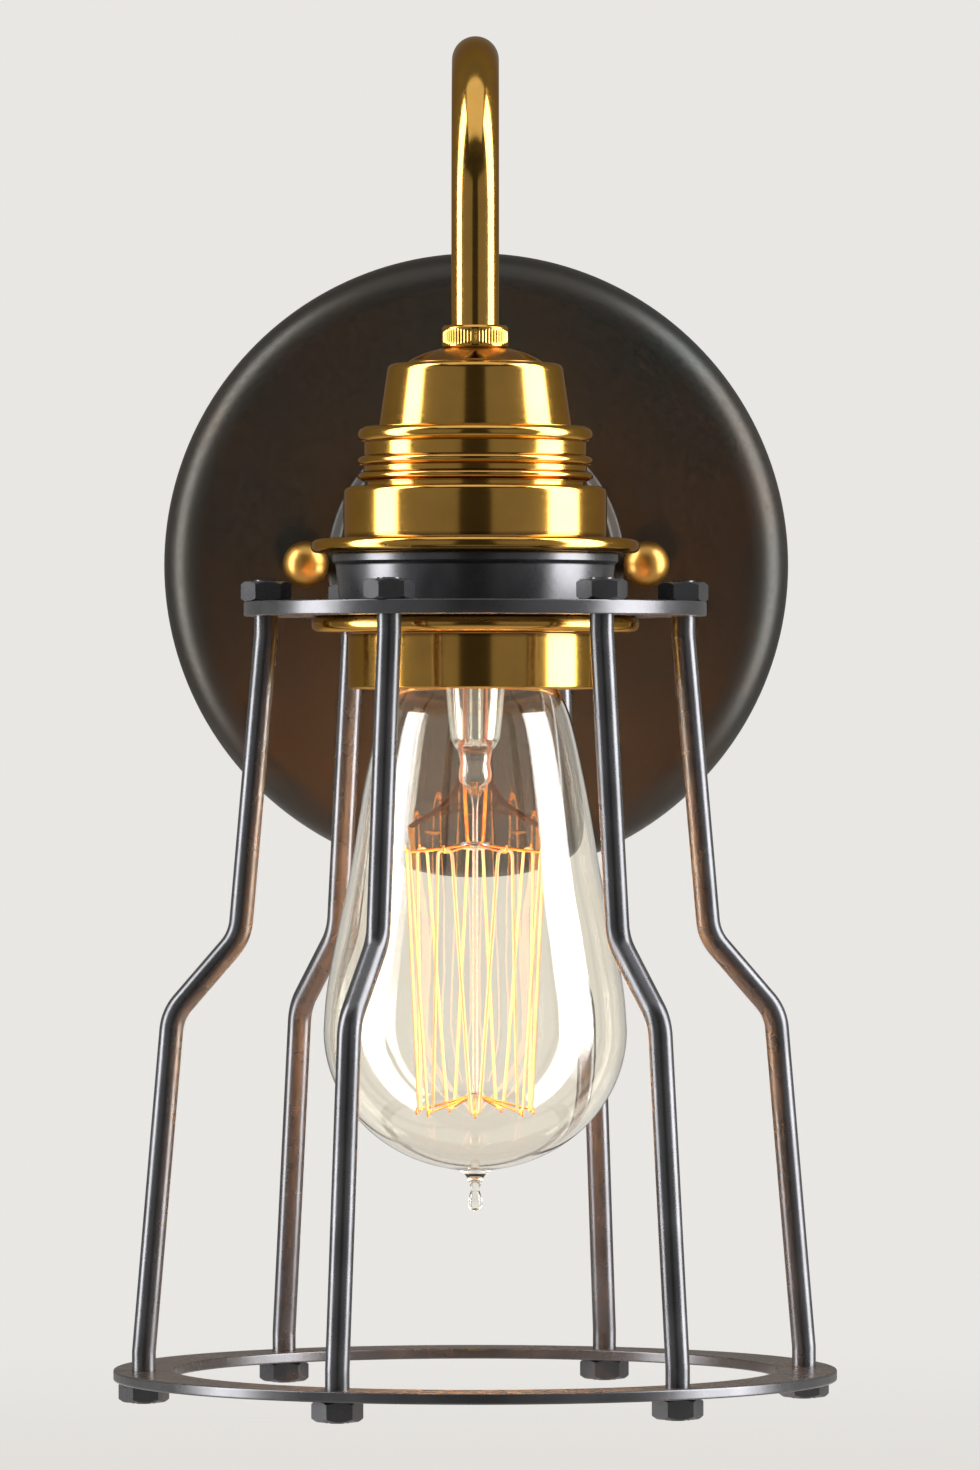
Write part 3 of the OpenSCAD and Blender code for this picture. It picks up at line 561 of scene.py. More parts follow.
def drill(radius, low, high, centre, from_wall=False):
    """Round cutter for a hole."""
    outline = [(0, low), (radius, low), (radius, high), (0, high)]
    return lathe("Drill", outline, HOLE_TURNS, centre, from_wall)


def prism(outline, low, high):
    """Upright prism over an outline of (x, y) points."""
    count = len(outline)
    places = [(*p, z) for z in (low, high) for p in outline]
    sides = [(k, (k + 1) % count, count + (k + 1) % count, count + k) for k in range(count)]
    return solid("Prism", places, [tuple(range(count)), tuple(range(count, 2 * count)), *sides])


def path(name, points):
    """Line through (x, y, z, bend radius) or (x, y, z, bend radius, thickness) points in mm."""
    mesh = bpy.data.meshes.new(name)
    links = [(i, i + 1) for i in range(len(points) - 1)]
    mesh.from_pydata([Vector(p[:3]) * MM for p in points], links, [])
    carry(mesh, "bend", [p[3] * MM for p in points])
    carry(mesh, "thick", [p[4] if len(p) > 4 else 1.0 for p in points])
    return new_object(name, mesh)


def bar(name, points, radius, finish, sides, steps, wall=0.0):
    """Round bar, or a tube with that wall, along a bent path."""
    values = {
        "Radius": radius * MM, "Wall": wall * MM, "Sides": sides, "Bend Steps": steps,
        "Material": finish_of(finish),
    }
    return grow(name, "Bent bar", values, path(name, points), 50.0)


def round_about(name, part, count, turn, finish, sharp=SHARP):
    """Copies of a part about the lamp axis; the part itself is removed."""
    values = {"Part": part, "Count": count, "Turn": turn, "Axis": LAMP_AXIS, "Material": finish_of(finish)}
    made = grow(name, "Around the lamp axis", values, sharp=sharp)
    bpy.data.objects.remove(part)
    return made


def ribbed(made, finish, around, pitch, depth, low, high, fade):
    """A turned piece with ribs or a thread between two heights."""
    values = {
        "Around": around, "Pitch": pitch * MM, "Depth": depth * MM, "Axis": LAMP_AXIS, "From": low * MM,
        "To": high * MM, "Fade": fade * MM, "Material": finish_of(finish),
    }
    return grow(made.name, "Ribs and threads", values, made)


def join(name, parts):
    """One object from several plain ones."""
    shape = bmesh.new()
    for part in parts:
        shape.from_mesh(part.data)
    mesh = bpy.data.meshes.new(name)
    shape.to_mesh(mesh)
    shape.free()
    for part in parts:
        bpy.data.objects.remove(part)
    tidy_mesh(mesh, 60.0)
    return new_object(name, mesh)


def place(made, finish, slot, body="fixture", nodes=()):
    """Gives a finished piece its material, its CAD body and the nodes it stands for.

    Where no nodes are given, its node is its own name in small letters. The slot is not used.
    """
    nodes = nodes or [made.name.lower()]
    made.data.materials.clear()
    made.data.materials.append(finish_of(finish))
    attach(made, body)
    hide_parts(*nodes)


def turned(name, outline, finish, slot, body="fixture", turns=TURNS, steps=4):
    """A piece turned about the lamp axis, with rounded corners, in its place."""
    place(lathe(name, rounded(outline, steps=steps), turns), finish, slot, body)


# ---- Materials ----


def new_material(name, colour, roughness, metallic=0.0):
    """A material with its tree, its shader and its texture coordinates."""
    material = bpy.data.materials.new(name)
    material.use_nodes = True
    tree = material.node_tree
    shader = tree.nodes["Principled BSDF"]
    set_inputs(shader, {"Base Color": colour, "Roughness": roughness, "Metallic": metallic})
    where = add_node(tree, "ShaderNodeTexCoord").outputs["Object"]
    return material, tree, shader, where


def noise(tree, where, size_mm, detail=3.0):
    """Noise whose blotches are about that many millimetres wide."""
    inputs = {"Vector": where, "Scale": 1 / (size_mm * MM), "Detail": detail}
    return add_node(tree, "ShaderNodeTexNoise", inputs).outputs["Fac"]


def between(tree, value, low, high, start=0.3, end=0.7):
    """The value from start to end, remapped to low to high."""
    spread = {"Value": value, "From Min": start, "From Max": end, "To Min": low, "To Max": high}
    return add_node(tree, "ShaderNodeMapRange", spread).outputs[0]


def blend_colour(tree, share, first, second):
    """The first colour, with that share of the second."""
    mixed = add_node(tree, "ShaderNodeMix", {0: share, 6: first, 7: second}, data_type="RGBA")
    return mixed.outputs[2]


def bump(tree, height, strength, distance_mm):
    """Normals of a fine relief."""
    inputs = {"Strength": strength, "Distance": distance_mm * MM, "Height": height}
    return add_node(tree, "ShaderNodeBump", inputs)


def in_hollows(tree, share, most):
    """The share of a darker tone, and at least that much in the hollow corners: painted shade there, which
    on the brass is also patina.
    """
    groove = add_node(tree, "ShaderNodeAttribute", attribute_name="groove").outputs["Fac"]
    return calculate(tree, "MAXIMUM", share, calculate(tree, "MULTIPLY", groove, most))


def lathe_lines(tree, where, size_mm):
    """Fine noise in rings about the lamp axis, as a lathe tool leaves."""
    local = vector_math(tree, "SUBTRACT", where, LAMP_AXIS)
    x, y, height = add_node(tree, "ShaderNodeSeparateXYZ", {0: local}).outputs
    flat = add_node(tree, "ShaderNodeCombineXYZ", {"X": x, "Y": y})
    radius = vector_math(tree, "LENGTH", flat).outputs["Value"]
    rings = add_node(tree, "ShaderNodeCombineXYZ", {"X": radius, "Y": height})
    return noise(tree, rings, size_mm, 2.0)


def show_mix(tree, share, first, second):
    """The material's surface: the first shader, with that share of the second."""
    mixed = add_node(tree, "ShaderNodeMixShader", {0: share, 1: first, 2: second})
    set_inputs(tree.nodes["Material Output"], {"Surface": mixed})


def ray_kinds(tree):
    """The Light Path outputs, and 1 for the rays that show a thing to the camera."""
    rays = add_node(tree, "ShaderNodeLightPath").outputs
    return rays, calculate(tree, "MAXIMUM", rays["Is Camera Ray"], rays["Is Transmission Ray"])


def antique_brass(name, lathed, dull=0.0):
    """Lacquered antique brass, browner in the hollows with patina and painted shade; turned pieces show
    fine lathe lines.

    A dull piece is rougher by that much, and has more patina.
    """
    finish = bpy.context.scene.wall_light.finish
    material, tree, shader, where = new_material(name, finish.brass, 0.25, 1.0)
    blotch = between(tree, noise(tree, where, 9.0, 4.0), 0.05 + 2 * dull, 0.3 + 2 * dull)
    fine = lathe_lines(tree, where, 0.35) if lathed else noise(tree, where, 1.2)
    set_inputs(shader, {
        "Base Color": blend_colour(tree, in_hollows(tree, blotch, 0.9), finish.brass, finish.brass_shade),
        "Roughness": between(tree, fine, 0.12 + dull, 0.18 + dull),
        "Normal": bump(tree, fine, 0.06, 0.01),
        "Specular Tint": linear("#d9b56c"),
        "Coat Weight": 0.4,
        "Coat Roughness": 0.08 + dull,
    })
    return material


def blackened_steel(name):
    """Blackened steel of the cage: satin, with darker blotches."""
    finish = bpy.context.scene.wall_light.finish
    material, tree, shader, where = new_material(name, finish.steel, 0.4, 0.85)
    blotch = between(tree, noise(tree, where, 9.0, 2.0), 0.0, 0.3)
    set_inputs(shader, {
        # darker in the hollow corners: painted shade
        "Base Color": blend_colour(tree, in_hollows(tree, blotch, 0.7), finish.steel, linear("#242423")),
        "Roughness": between(tree, noise(tree, where, 7.0, 2.0), 0.25, 0.3),
    })
    return material


def bronzed_steel(name):
    """Dark bronzed steel of the wall plate: satin, a little browner in patches."""
    finish = bpy.context.scene.wall_light.finish
    material, tree, shader, where = new_material(name, finish.plate, 0.42, 0.7)
    cloud = between(tree, noise(tree, where, 38.0, 5.0), 0.0, 0.7, 0.35, 0.65)
    grain = noise(tree, where, 0.9, 4.0)
    set_inputs(shader, {
        "Base Color": blend_colour(tree, cloud, finish.plate, linear("#3a3027")),
        "Roughness": between(tree, grain, 0.3, 0.44),
        "Normal": bump(tree, grain, 0.15, 0.03),
    })
    return material


def two_toned(name, colour, dull, size_mm, roughness, metallic=0.0):
    """A material whose colour runs from one tone to a duller one."""
    material, tree, shader, where = new_material(name, linear(colour), roughness, metallic)
    share = between(tree, noise(tree, where, size_mm), 0.0, 1.0)
    set_inputs(shader, {"Base Color": blend_colour(tree, share, linear(colour), linear(dull))})
    return material, tree, shader, where


def plain_metal(name, colour, dull, low, high, size_mm=3.0):
    """Metal with a roughness from low to high, in blotches of that size."""
    material, tree, shader, where = two_toned(name, colour, dull, 2.5 * size_mm, low, 1.0)
    set_inputs(shader, {"Roughness": between(tree, noise(tree, where, size_mm), low, high)})
    return material


def coated(name, colour, dull, roughness, size_mm=2.0):
    """Plastic, ceramic or paint: two close tones and a fixed roughness."""
    return two_toned(name, colour, dull, size_mm, roughness)[0]


def clear_glass(name, colour, roughness, shine=0.0):
    """Blown glass that lets lamp light through without a shadow; shine adds to its reflections."""
    material, tree, shader, where = new_material(name, linear(colour), roughness)
    set_inputs(shader, {
        "Transmission Weight": 1.0,
        "IOR": 1.5,
        "Coat Weight": shine,
        "Coat IOR": 1.7,
        "Coat Roughness": 0.0,
        "Normal": bump(tree, noise(tree, where, 14.0, 1.0), 0.06, 0.4),
    })
    through = add_node(tree, "ShaderNodeBsdfTransparent", {"Color": linear("#f4f1ea")})
    shadow = add_node(tree, "ShaderNodeLightPath").outputs["Is Shadow Ray"]
    show_mix(tree, shadow, shader, through)
    return material


def filament_glow(name):
    """Glowing tungsten: white-hot in the middle of a strand, orange at its edge.

    The picture's white is far below a filament's light. So only the rays that light other parts get
    all of it, its mirror images get a part, and the strands themselves are as bright as they look.
    """
    on_parts, mirrored, seen_itself = 340.0, 10.0, 1.0
    finish = bpy.context.scene.wall_light.finish
    material, tree, shader, where = new_material(name, linear("#1a1008"), 0.5)
    facing = add_node(tree, "ShaderNodeLayerWeight", {"Blend": 0.35}).outputs["Facing"]
    strand = blend_colour(tree, between(tree, facing, 0.0, 1.0, 0.15, 0.65), finish.glow, finish.glow_edge)
    uneven = between(tree, noise(tree, where, 7.0, 2.0), 0.85, 1.2)
    rays, seen = ray_kinds(tree)
    unseen_power = between(tree, rays["Is Singular Ray"], on_parts, mirrored, 0.0, 1.0)
    power = between(tree, seen, unseen_power, seen_itself, 0.0, 1.0)
    set_inputs(shader, {
        "Emission Color": blend_colour(tree, seen, finish.glow_light, strand),
        "Emission Strength": calculate(tree, "MULTIPLY", uneven, power),
    })
    return material


FINISHES = {
    # lacquered antique brass, turned on a lathe
    "antique_brass_turned": (antique_brass, True),
    # lacquered antique brass, drawn tube and pressed parts
    "antique_brass_drawn": (antique_brass, False),
    # dull antique brass, darker with patina
    "antique_brass_dull": (antique_brass, False, 0.2),
    # blackened steel of the cage
    "blackened_steel": (blackened_steel,),
    # dark bronzed steel of the wall plate
    "bronzed_steel": (bronzed_steel,),
    # bare brass of the socket
    "bright_brass": (plain_metal, "#d8b45c", "#b98f3d", 0.22, 0.38),
    # bright zinc plating on steel
    "zinc_plated_steel": (plain_metal, "#b9bcbe", "#93979a", 0.3, 0.5),
    # nickel-plated brass of the bulb's cap
    "nickel_plated_brass": (plain_metal, "#cbc8c0", "#aaa69c", 0.22, 0.36),
    # tinned tip of the bulb
    "tinned_contact": (plain_metal, "#c6c7c8", "#9fa0a0", 0.35, 0.5, 1.2),
    # copper-clad lead wires
    "copper_wire": (plain_metal, "#c67d4b", "#9d5a30", 0.28, 0.42, 1.0),
    # molybdenum wire of the hooks, with the filament's orange light painted into its colour
    "molybdenum_wire": (plain_metal, "#c98742", "#a3642b", 0.3, 0.45, 1.0),
    # green enamel of the earth screw
    "green_enamel": (coated, "#3f7d4a", "#356b3f", 0.4),
    # PVC insulation of the three wires
    "black_pvc": (coated, "#242424", "#1c1c1c", 0.5),
    "white_pvc": (coated, "#dcdad2", "#cfccc2", 0.5),
    "green_pvc": (coated, "#4d7a45", "#43703b", 0.5),
    # glazed porcelain of the socket's core
    "glazed_porcelain": (coated, "#ece9e0", "#e2ded2", 0.18, 5.0),
    # black vitrite glass of the cap
    "black_vitrite": (coated, "#1d1d22", "#15151a", 0.15, 3.0),
    # clear bulb glass, very slightly warm
    "clear_glass": (clear_glass, "#fbf8f0", 0.0),
    # clear glass of the stem
    "stem_glass": (clear_glass, "#f6f7f3", 0.03, 1.0),
    # glowing tungsten of the filament
    "glowing_tungsten": (filament_glow,),
}


@functools.cache
def finish_of(name):
    """The material of that name, built the first time that it is asked for."""
    build, *values = FINISHES[name]
    return build(name, *values)


# ---- Pieces ----


class BuildOperator(bpy.types.Operator):
    """Base of the building operators."""

    bl_options = {"REGISTER", "UNDO"}


class WALLLIGHT_OT_plate(BuildOperator):
    """Build the wall plate with its shoulder, its boss and its three holes"""

    bl_idname = "wall_light.plate"
    bl_label = "Wall plate"

    def execute(self, context):
        size = context.scene.wall_light.plate
        radius, depth, shoulder = mm(size.diameter) / 2, mm(size.depth), mm(size.shoulder)
        boss, top = mm(size.boss) / 2, mm(size.depth + size.rise)
        wall, toe, slope, tube_hole, stud_hole = 1.8, 1.0, 1.3, 5.3, 2.3

        def skin(t):
            """The plate's outside, or the inside that lies t behind it."""
            return [
                *sharp_corners(arc(radius - shoulder, depth - shoulder, shoulder - t, 0, 90, 20)),
                (boss + toe - t / 2, depth - t, 0.8), (boss - slope - t / 2, top - t, 1.4),
                (tube_hole, top - t, 0.2),
            ]

        outline = [(radius - wall, 0, 0.5), (radius, 0, 0.5), *skin(0), *skin(wall)[::-1]]
        made = lathe("Wall_plate", rounded(outline), WIDE_TURNS, (0.0, 0.0), True)
        cut(made, [drill(stud_hole, -2, top + 3, (side * STUD_X, 0.0), True) for side in (-1, 1)])
        place(made, "bronzed_steel", "bronzed_steel")
        return {"FINISHED"}


class WALLLIGHT_OT_ball_nuts(BuildOperator):
    """Build the two round cap nuts on the plate's studs"""

    bl_idname = "wall_light.ball_nuts"
    bl_label = "Ball nuts"

    def execute(self, context):
        size = context.scene.wall_light.plate
        radius, seat = mm(size.ball) / 2, mm(size.depth)
        bore, bore_depth, bore_point, flat = 2.05, 7.5, 0.8, 0.5
        middle = seat + radius - flat
        low = -math.degrees(math.asin((radius - flat) / radius))
        face = arc(0, middle, radius, low, 90, 36)
        outline = [
            (bore, seat, 0.15), (*face[0], 0.15), *sharp_corners(face[1:-1]), (0, middle + radius),
            (0, seat + bore_depth + bore_point), (bore, seat + bore_depth, 0),
        ]
        for side, name in ((-1, "Ball_nut_left"), (1, "Ball_nut_right")):
            made = lathe(name, rounded(outline), SMALL_TURNS, (side * STUD_X, 0.0), True)
            place(made, "antique_brass_dull", "antique_brass", name.lower())
        return {"FINISHED"}


def round_nut(name, foot, centre, from_wall):
    """Round nut, in rows that are close enough for fine ribs."""
    radius, height, bore, bevel, rows, row = 6.95, 4.9, 5.03, 0.5, 12, 0.3
    top = foot + height
    outline = [
        (bore, foot, 0.2), (radius - bevel, foot, 0.15), (radius, foot + bevel, 0.15),
        *[(radius, foot + bevel + row * k, 0) for k in range(1, rows + 1)],
        (radius, top - bevel, 0.15), (radius - bevel, top, 0.15), (bore, top, 0.2),
    ]
    return lathe(name, rounded(outline), 480, centre, from_wall)


class WALLLIGHT_OT_arm(BuildOperator):
    """Build the bent arm tube and the round nut at the plate"""

    bl_idname = "wall_light.arm"
    bl_label = "Arm"

    def execute(self, context):
        size = context.scene.wall_light.arm
        hook, height = mm(size.hook), mm(size.height)
        plate_end, neck_end, nut_foot = -12, 35, 25.0
        back, over = LAMP_Y + 2 * hook, height + hook
        # a hair less than the hook's radius, so that its two bends don't meet in one point
        bend = hook - 0.001
        line = [
            (0, plate_end, 0, 0), (0, back, 0, mm(size.riser)), (0, back, over, bend),
            (0, LAMP_Y, over, bend), (0, LAMP_Y, neck_end, 0),
        ]
        made = bar("Arm_tube", line, mm(size.diameter) / 2, "antique_brass_drawn", 64, 28, mm(size.wall))
        place(made, "antique_brass_drawn", "antique_brass")
        nut = round_nut("Arm_front_nut", nut_foot, (0.0, 0.0), True)
        place(nut, "antique_brass_drawn", "antique_brass")
        return {"FINISHED"}


class WALLLIGHT_OT_neck(BuildOperator):
    """Build the ribbed neck collar and the vented cap under it"""

    bl_idname = "wall_light.neck"
    bl_label = "Neck collar and vent cap"

    def execute(self, context):
        # a pitch so long that the ribs stand upright
        ribs, pitch, depth, foot, top, fade = 60.0, 1.0e9, 0.16, NECK_Z + 0.8, NECK_Z + 4.1, 0.6
        collar = round_nut("Neck_collar", NECK_Z, (0.0, LAMP_Y), False)
        ribbed(collar, "antique_brass_turned", ribs, pitch, depth, foot, top, fade)
        place(collar, "antique_brass_turned", "antique_brass")

        bore, rim, wall = 5.3, 14.25, 1.0
        dome = smooth_line([(7.55, NECK_Z), (10.6, 41.9), (13.2, 40.7), (rim, 40.0)], 6)
        inside = [(r - wall, h - wall) for r, h in dome[::-1] if h - wall > CAP_FOOT]
        outline = rounded([
            (bore, NECK_Z, 0.2), *sharp_corners(dome), (rim, CAP_FOOT, 0), (rim - wall, CAP_FOOT, 0),
            *sharp_corners(inside), (bore, NECK_Z - wall, 0.2),
        ])
        # the cap is painted dark all over, as if it were one groove: painted shade under the neck collar
        cap = lathe("Vent_cap", [(r, h, 1.0) for r, h, _ in outline])
        # each vent is a triangle with a point towards the neck
        middle, size, low, high, first = 12.45, 2.7, 40.1, 46.0, math.radians(30)
        vent = prism([(middle - x, y) for x, y in arc(0, 0, size, 0, 240, 2)], low, high)
        vents = context.scene.wall_light.holder.vents
        cut(cap, [round_about("Vents", vent, vents, first, "antique_brass_dull")])
        place(cap, "antique_brass_dull", "antique_brass")
        return {"FINISHED"}


class WALLLIGHT_OT_lampholder(BuildOperator):
    """Build the lampholder's cone, ribbed ring and body and the ring that clamps the cage"""

    bl_idname = "wall_light.lampholder"
    bl_label = "Lampholder"

    def execute(self, context):
        size = context.scene.wall_light.holder
        flange, body, skirt, bead = (mm(d) / 2 for d in (size.flange, size.body, size.skirt, size.beads))
        brass = ("antique_brass_turned", "antique_brass")

        mouth, ceiling = 12.05, 38.5
        cone = [
            (20.3, CONE_FOOT, 0.2), (18.3, CAP_FOOT, 1.4), (mouth, CAP_FOOT, 0.2), (mouth, ceiling, 0.2),
            (16.45, ceiling, 0.5), (19.1, CONE_FOOT, 0.2),
        ]
        turned("Cone_shell", cone, *brass)

        groove, bore, rebate, lip = 23.4, 18.7, 20.6, 22.8
        beads = []
        for height, half in ((24.8, 1.5), (19.35, 1.05), (16.1, 0.95)):
            for a in range(90, -91, -15):
                out, up = math.cos(math.radians(a)), math.sin(math.radians(a))
                corner = 0.12 if abs(a) == 90 else 0
                beads.append((groove + (bead - groove) * out, height + half * up, corner))
        ring = [
            (bore, CONE_FOOT, 0.2), (groove, CONE_FOOT, 0.2), *beads, (groove, 14.9, 0), (lip, 14.8, 0),
            (lip, RING_FOOT, 0.1), (rebate, RING_FOOT, 0.1), (rebate, 16.9, 0.1), (bore, 16.9, 0.1),
        ]
        turned("Ribbed_ring", ring, *brass)

        seat, sleeve, bore, room, floor, ceiling, rim = 19.4, 23.5, 22.3, 26.45, 1.8, 12.7, 3
        shell = [
            (bore, SLEEVE_FOOT, 0.2), (sleeve, SLEEVE_FOOT, 0.3), (sleeve, 0, 0.2), (flange, 0, 1.4),
            (flange, rim, 1.4), (body, rim, 0.5), (body, RING_FOOT, 1.2), (seat, RING_FOOT, 0.2),
            (seat, ceiling, 0.2), (room, ceiling, 0.6), (room, floor, 0.4), (bore, floor, 0.4),
        ]
        turned("Body_shell", shell, *brass, steps=6)

        bore, rim, foot, wall = 23.55, -16.7, -28.5, 1.6
        ring = [
            (bore, CLAMP_Z, 0.2), (flange, CLAMP_Z, 1.7), (flange, rim, 1.7), (skirt, rim, 0.5),
            (skirt, foot, 0.6), (skirt - wall, foot, 0.4), (skirt - wall, SLEEVE_FOOT, 0.2),
            (bore, SLEEVE_FOOT, 0.2),
        ]
        turned("Retaining_ring", ring, *brass, body="retaining_ring", steps=6)
        return {"FINISHED"}


def hexagon_nut(radius, low, high, across, bore):
    """Hexagon nut with chamfered corners, centred at that radius from the lamp axis."""
    corners = arc(radius, 0, across / 2 / math.cos(math.pi / 6), 0, 300, 5)
    reach, face, rise = across * 0.6, across * 0.485, 0.8
    outline = [
        (bore, low), (face, low), (reach, low + rise), (reach, high - rise), (face, high), (bore, high),
    ]
    chamfer = lathe("Chamfer", outline, 72, (radius, 0.0))
    return cut(prism(corners, low, high), [chamfer], "INTERSECT", 25.0)


class WALLLIGHT_OT_cage(BuildOperator):
    """Build the cage's collar, two flat rings, rods and nuts"""

    bl_idname = "wall_light.cage"
    bl_label = "Cage"

    def execute(self, context):
        size = context.scene.wall_light.cage
        turn, rods = size.turn, size.rods
        rod, top, foot = mm(size.rod) / 2, mm(size.top) / 2, mm(size.foot) / 2
        thread, hole, nut_bore, nut_h, proud = 2.0, 2.1, 2.03, 4.2, 0.3
        top_bore, top_rod, foot_width, foot_low, foot_high = 23.9, 44.0, 12.4, -173.1, -170.9
        foot_rod = foot - foot_width / 2
        steel = ("blackened_steel", "blackened_steel", "cage")

        bore, lip_foot, lip_r, top_z = 27, -1.8, 30, -0.02
        collar = [
            (bore, COLLAR_FOOT, 0.2), (28.5, COLLAR_FOOT, 0.2), (29.3, -2.4, 0.5), (lip_r, lip_foot, 0.2),
            (lip_r, top_z, 0.4), (bore, top_z, 0.2),
        ]
        turned("Cage_collar", collar, *steel)

        for name, inner, outer, low, high, at in (
            ("Cage_top_ring", top_bore, top, CLAMP_Z, COLLAR_FOOT, top_rod),
            ("Cage_foot_ring", foot - foot_width, foot, foot_low, foot_high, foot_rod),
        ):
            outline = [(inner, low, 0.25), (outer, low, 0.3), (outer, high, 0.3), (inner, high, 0.25)]
            bit = drill(hole, low - 1, high + 1, (at, 0.0))
            holes = round_about("Holes", bit, rods, turn, "blackened_steel")
            ring = lathe(name, rounded(outline), WIDE_TURNS)
            place(cut(ring, [holes]), *steel)

        for name, at, low in (
            ("Cage_top_nuts", top_rod, COLLAR_FOOT),
            ("Cage_foot_nuts", foot_rod, foot_low - nut_h),
        ):
            nut = hexagon_nut(at, low, low + nut_h, mm(size.nut), nut_bore)
            place(round_about(name, nut, rods, turn, "blackened_steel", 25.0), *steel)

        def threaded_end(at, shoulder, end):
            """From the shoulder to the end, where the rod is thinner and has a bevelled tip."""
            way, thin = (1 if end > shoulder else -1), thread / rod
            rows = (
                (shoulder - way * 0.15, 1.0), (shoulder - way * 0.02, 0.96), (shoulder, thin),
                (end - way * 0.4, thin), (end, 0.8 * thin),
            )
            return [(at, 0, z, 0, thick) for z, thick in rows]

        line = [
            *threaded_end(top_rod, CLAMP_Z, COLLAR_FOOT + nut_h + proud)[::-1],
            (top_rod, 0, -17, 6), (49.5, 0, -80.2, 10), (63.6, 0, -96.5, 10), (foot_rod, 0, -167, 6),
            *threaded_end(foot_rod, foot_high, foot_low - nut_h - proud),
        ]
        one = bar("Rod", line, rod, "blackened_steel", 36, 10)
        nodes = [f"cage_rod_{i + 1}" for i in range(rods)]
        place(round_about("Cage_rods", one, rods, turn, "blackened_steel", 50.0), *steel, nodes)
        return {"FINISHED"}


class WALLLIGHT_OT_bulb(BuildOperator):
    """Build the bulb's glass, its screw cap, its insulator and its tip contact"""

    bl_idname = "wall_light.bulb"
    bl_label = "Bulb"

    def execute(self, context):
        size = context.scene.wall_light.bulb
        widest, cap = mm(size.diameter) / 2, mm(size.cap) / 2
        glass, mouth, mouth_z, widest_z, drop, seal, end_z = 0.8, 12.05, -12, -100.0, 29.4, 3.9, -138
        side = smooth_line(
            [(mouth, -21.2), (17.3, -28.7), (20.2, -35), (23.2, -48.6), (26.1, -66.2), (28.9, -79.5),
             (31.1, -91.5), (widest, widest_z)], 8,
        )

        def dome(t):
            """The round foot of the glass, or the inside that lies t behind it."""
            angles = [math.pi / 2 * k / 40 for k in range(1, 41)]
            return [((widest - t) * math.cos(a), widest_z - (drop - t) * math.sin(a)) for a in angles]

        tip = smooth_line(
            [(3.6, -129.3), (2.1, -130.4), (1.35, -131.8), (0.9, -133.4), (1.2, -134.6), (1.5, -136.4),
             (1.1, -137.5)], 5,
        )
        section = [
            (mouth, mouth_z), *side, *[p for p in dome(0) if p[0] > seal], *tip, (0, end_z),
            (0, widest_z - drop + glass), *dome(glass)[:-1][::-1], *[(r - glass, h) for r, h in side[::-1]],
            (mouth - glass, mouth_z),
        ]
        made = lathe("Bulb_glass", section, sharp=80.0)
        place(made, "clear_glass", "clear_glass", "bulb")

        wall, crown, foot, shoulder, rise = 0.4, 0.6, -20.8, 1.2, 0.28
        rim, crown_rim, crown_inside = cap - 0.2, cap - 1.4, cap - 1.6
        rows = [crown - shoulder - rise * k for k in range(60)]
        outline = [
            (0, crown), (crown_rim, crown), *[(cap, h) for h in rows], (rim, foot), (rim - wall, foot),
            *[(cap - wall, h) for h in rows[::-1]], (crown_inside, crown - wall), (0, crown - wall),
        ]
        pitch, depth, thread_foot, thread_top, fade = 3.629, 0.45, -18.8, -0.6, 1.8
        shell = lathe("Bulb_cap", outline, 144)
        ribbed(shell, "nickel_plated_brass", 1.0, pitch, depth, thread_foot, thread_top, fade)
        place(shell, "nickel_plated_brass", "nickel_cap", "bulb")

        seat, end = 3.2, 4.4
        cone = [(0, crown), (10.8, crown, 0.2), (9.8, 1.6, 0.5), (5.8, seat, 0.3), (0, seat)]
        turned("Bulb_insulator", cone, "black_vitrite", "black_glass", "bulb", SMALL_TURNS)
        pip = [(0, seat), (5.2, seat, 0.2), (4.9, 3.8, 0.3), (3.6, 4.2, 0.6), (2.2, end, 0), (0, end)]
        turned("Bulb_contact", pip, "tinned_contact", "tinned_contact", "bulb_travel", 64)
        return {"FINISHED"}


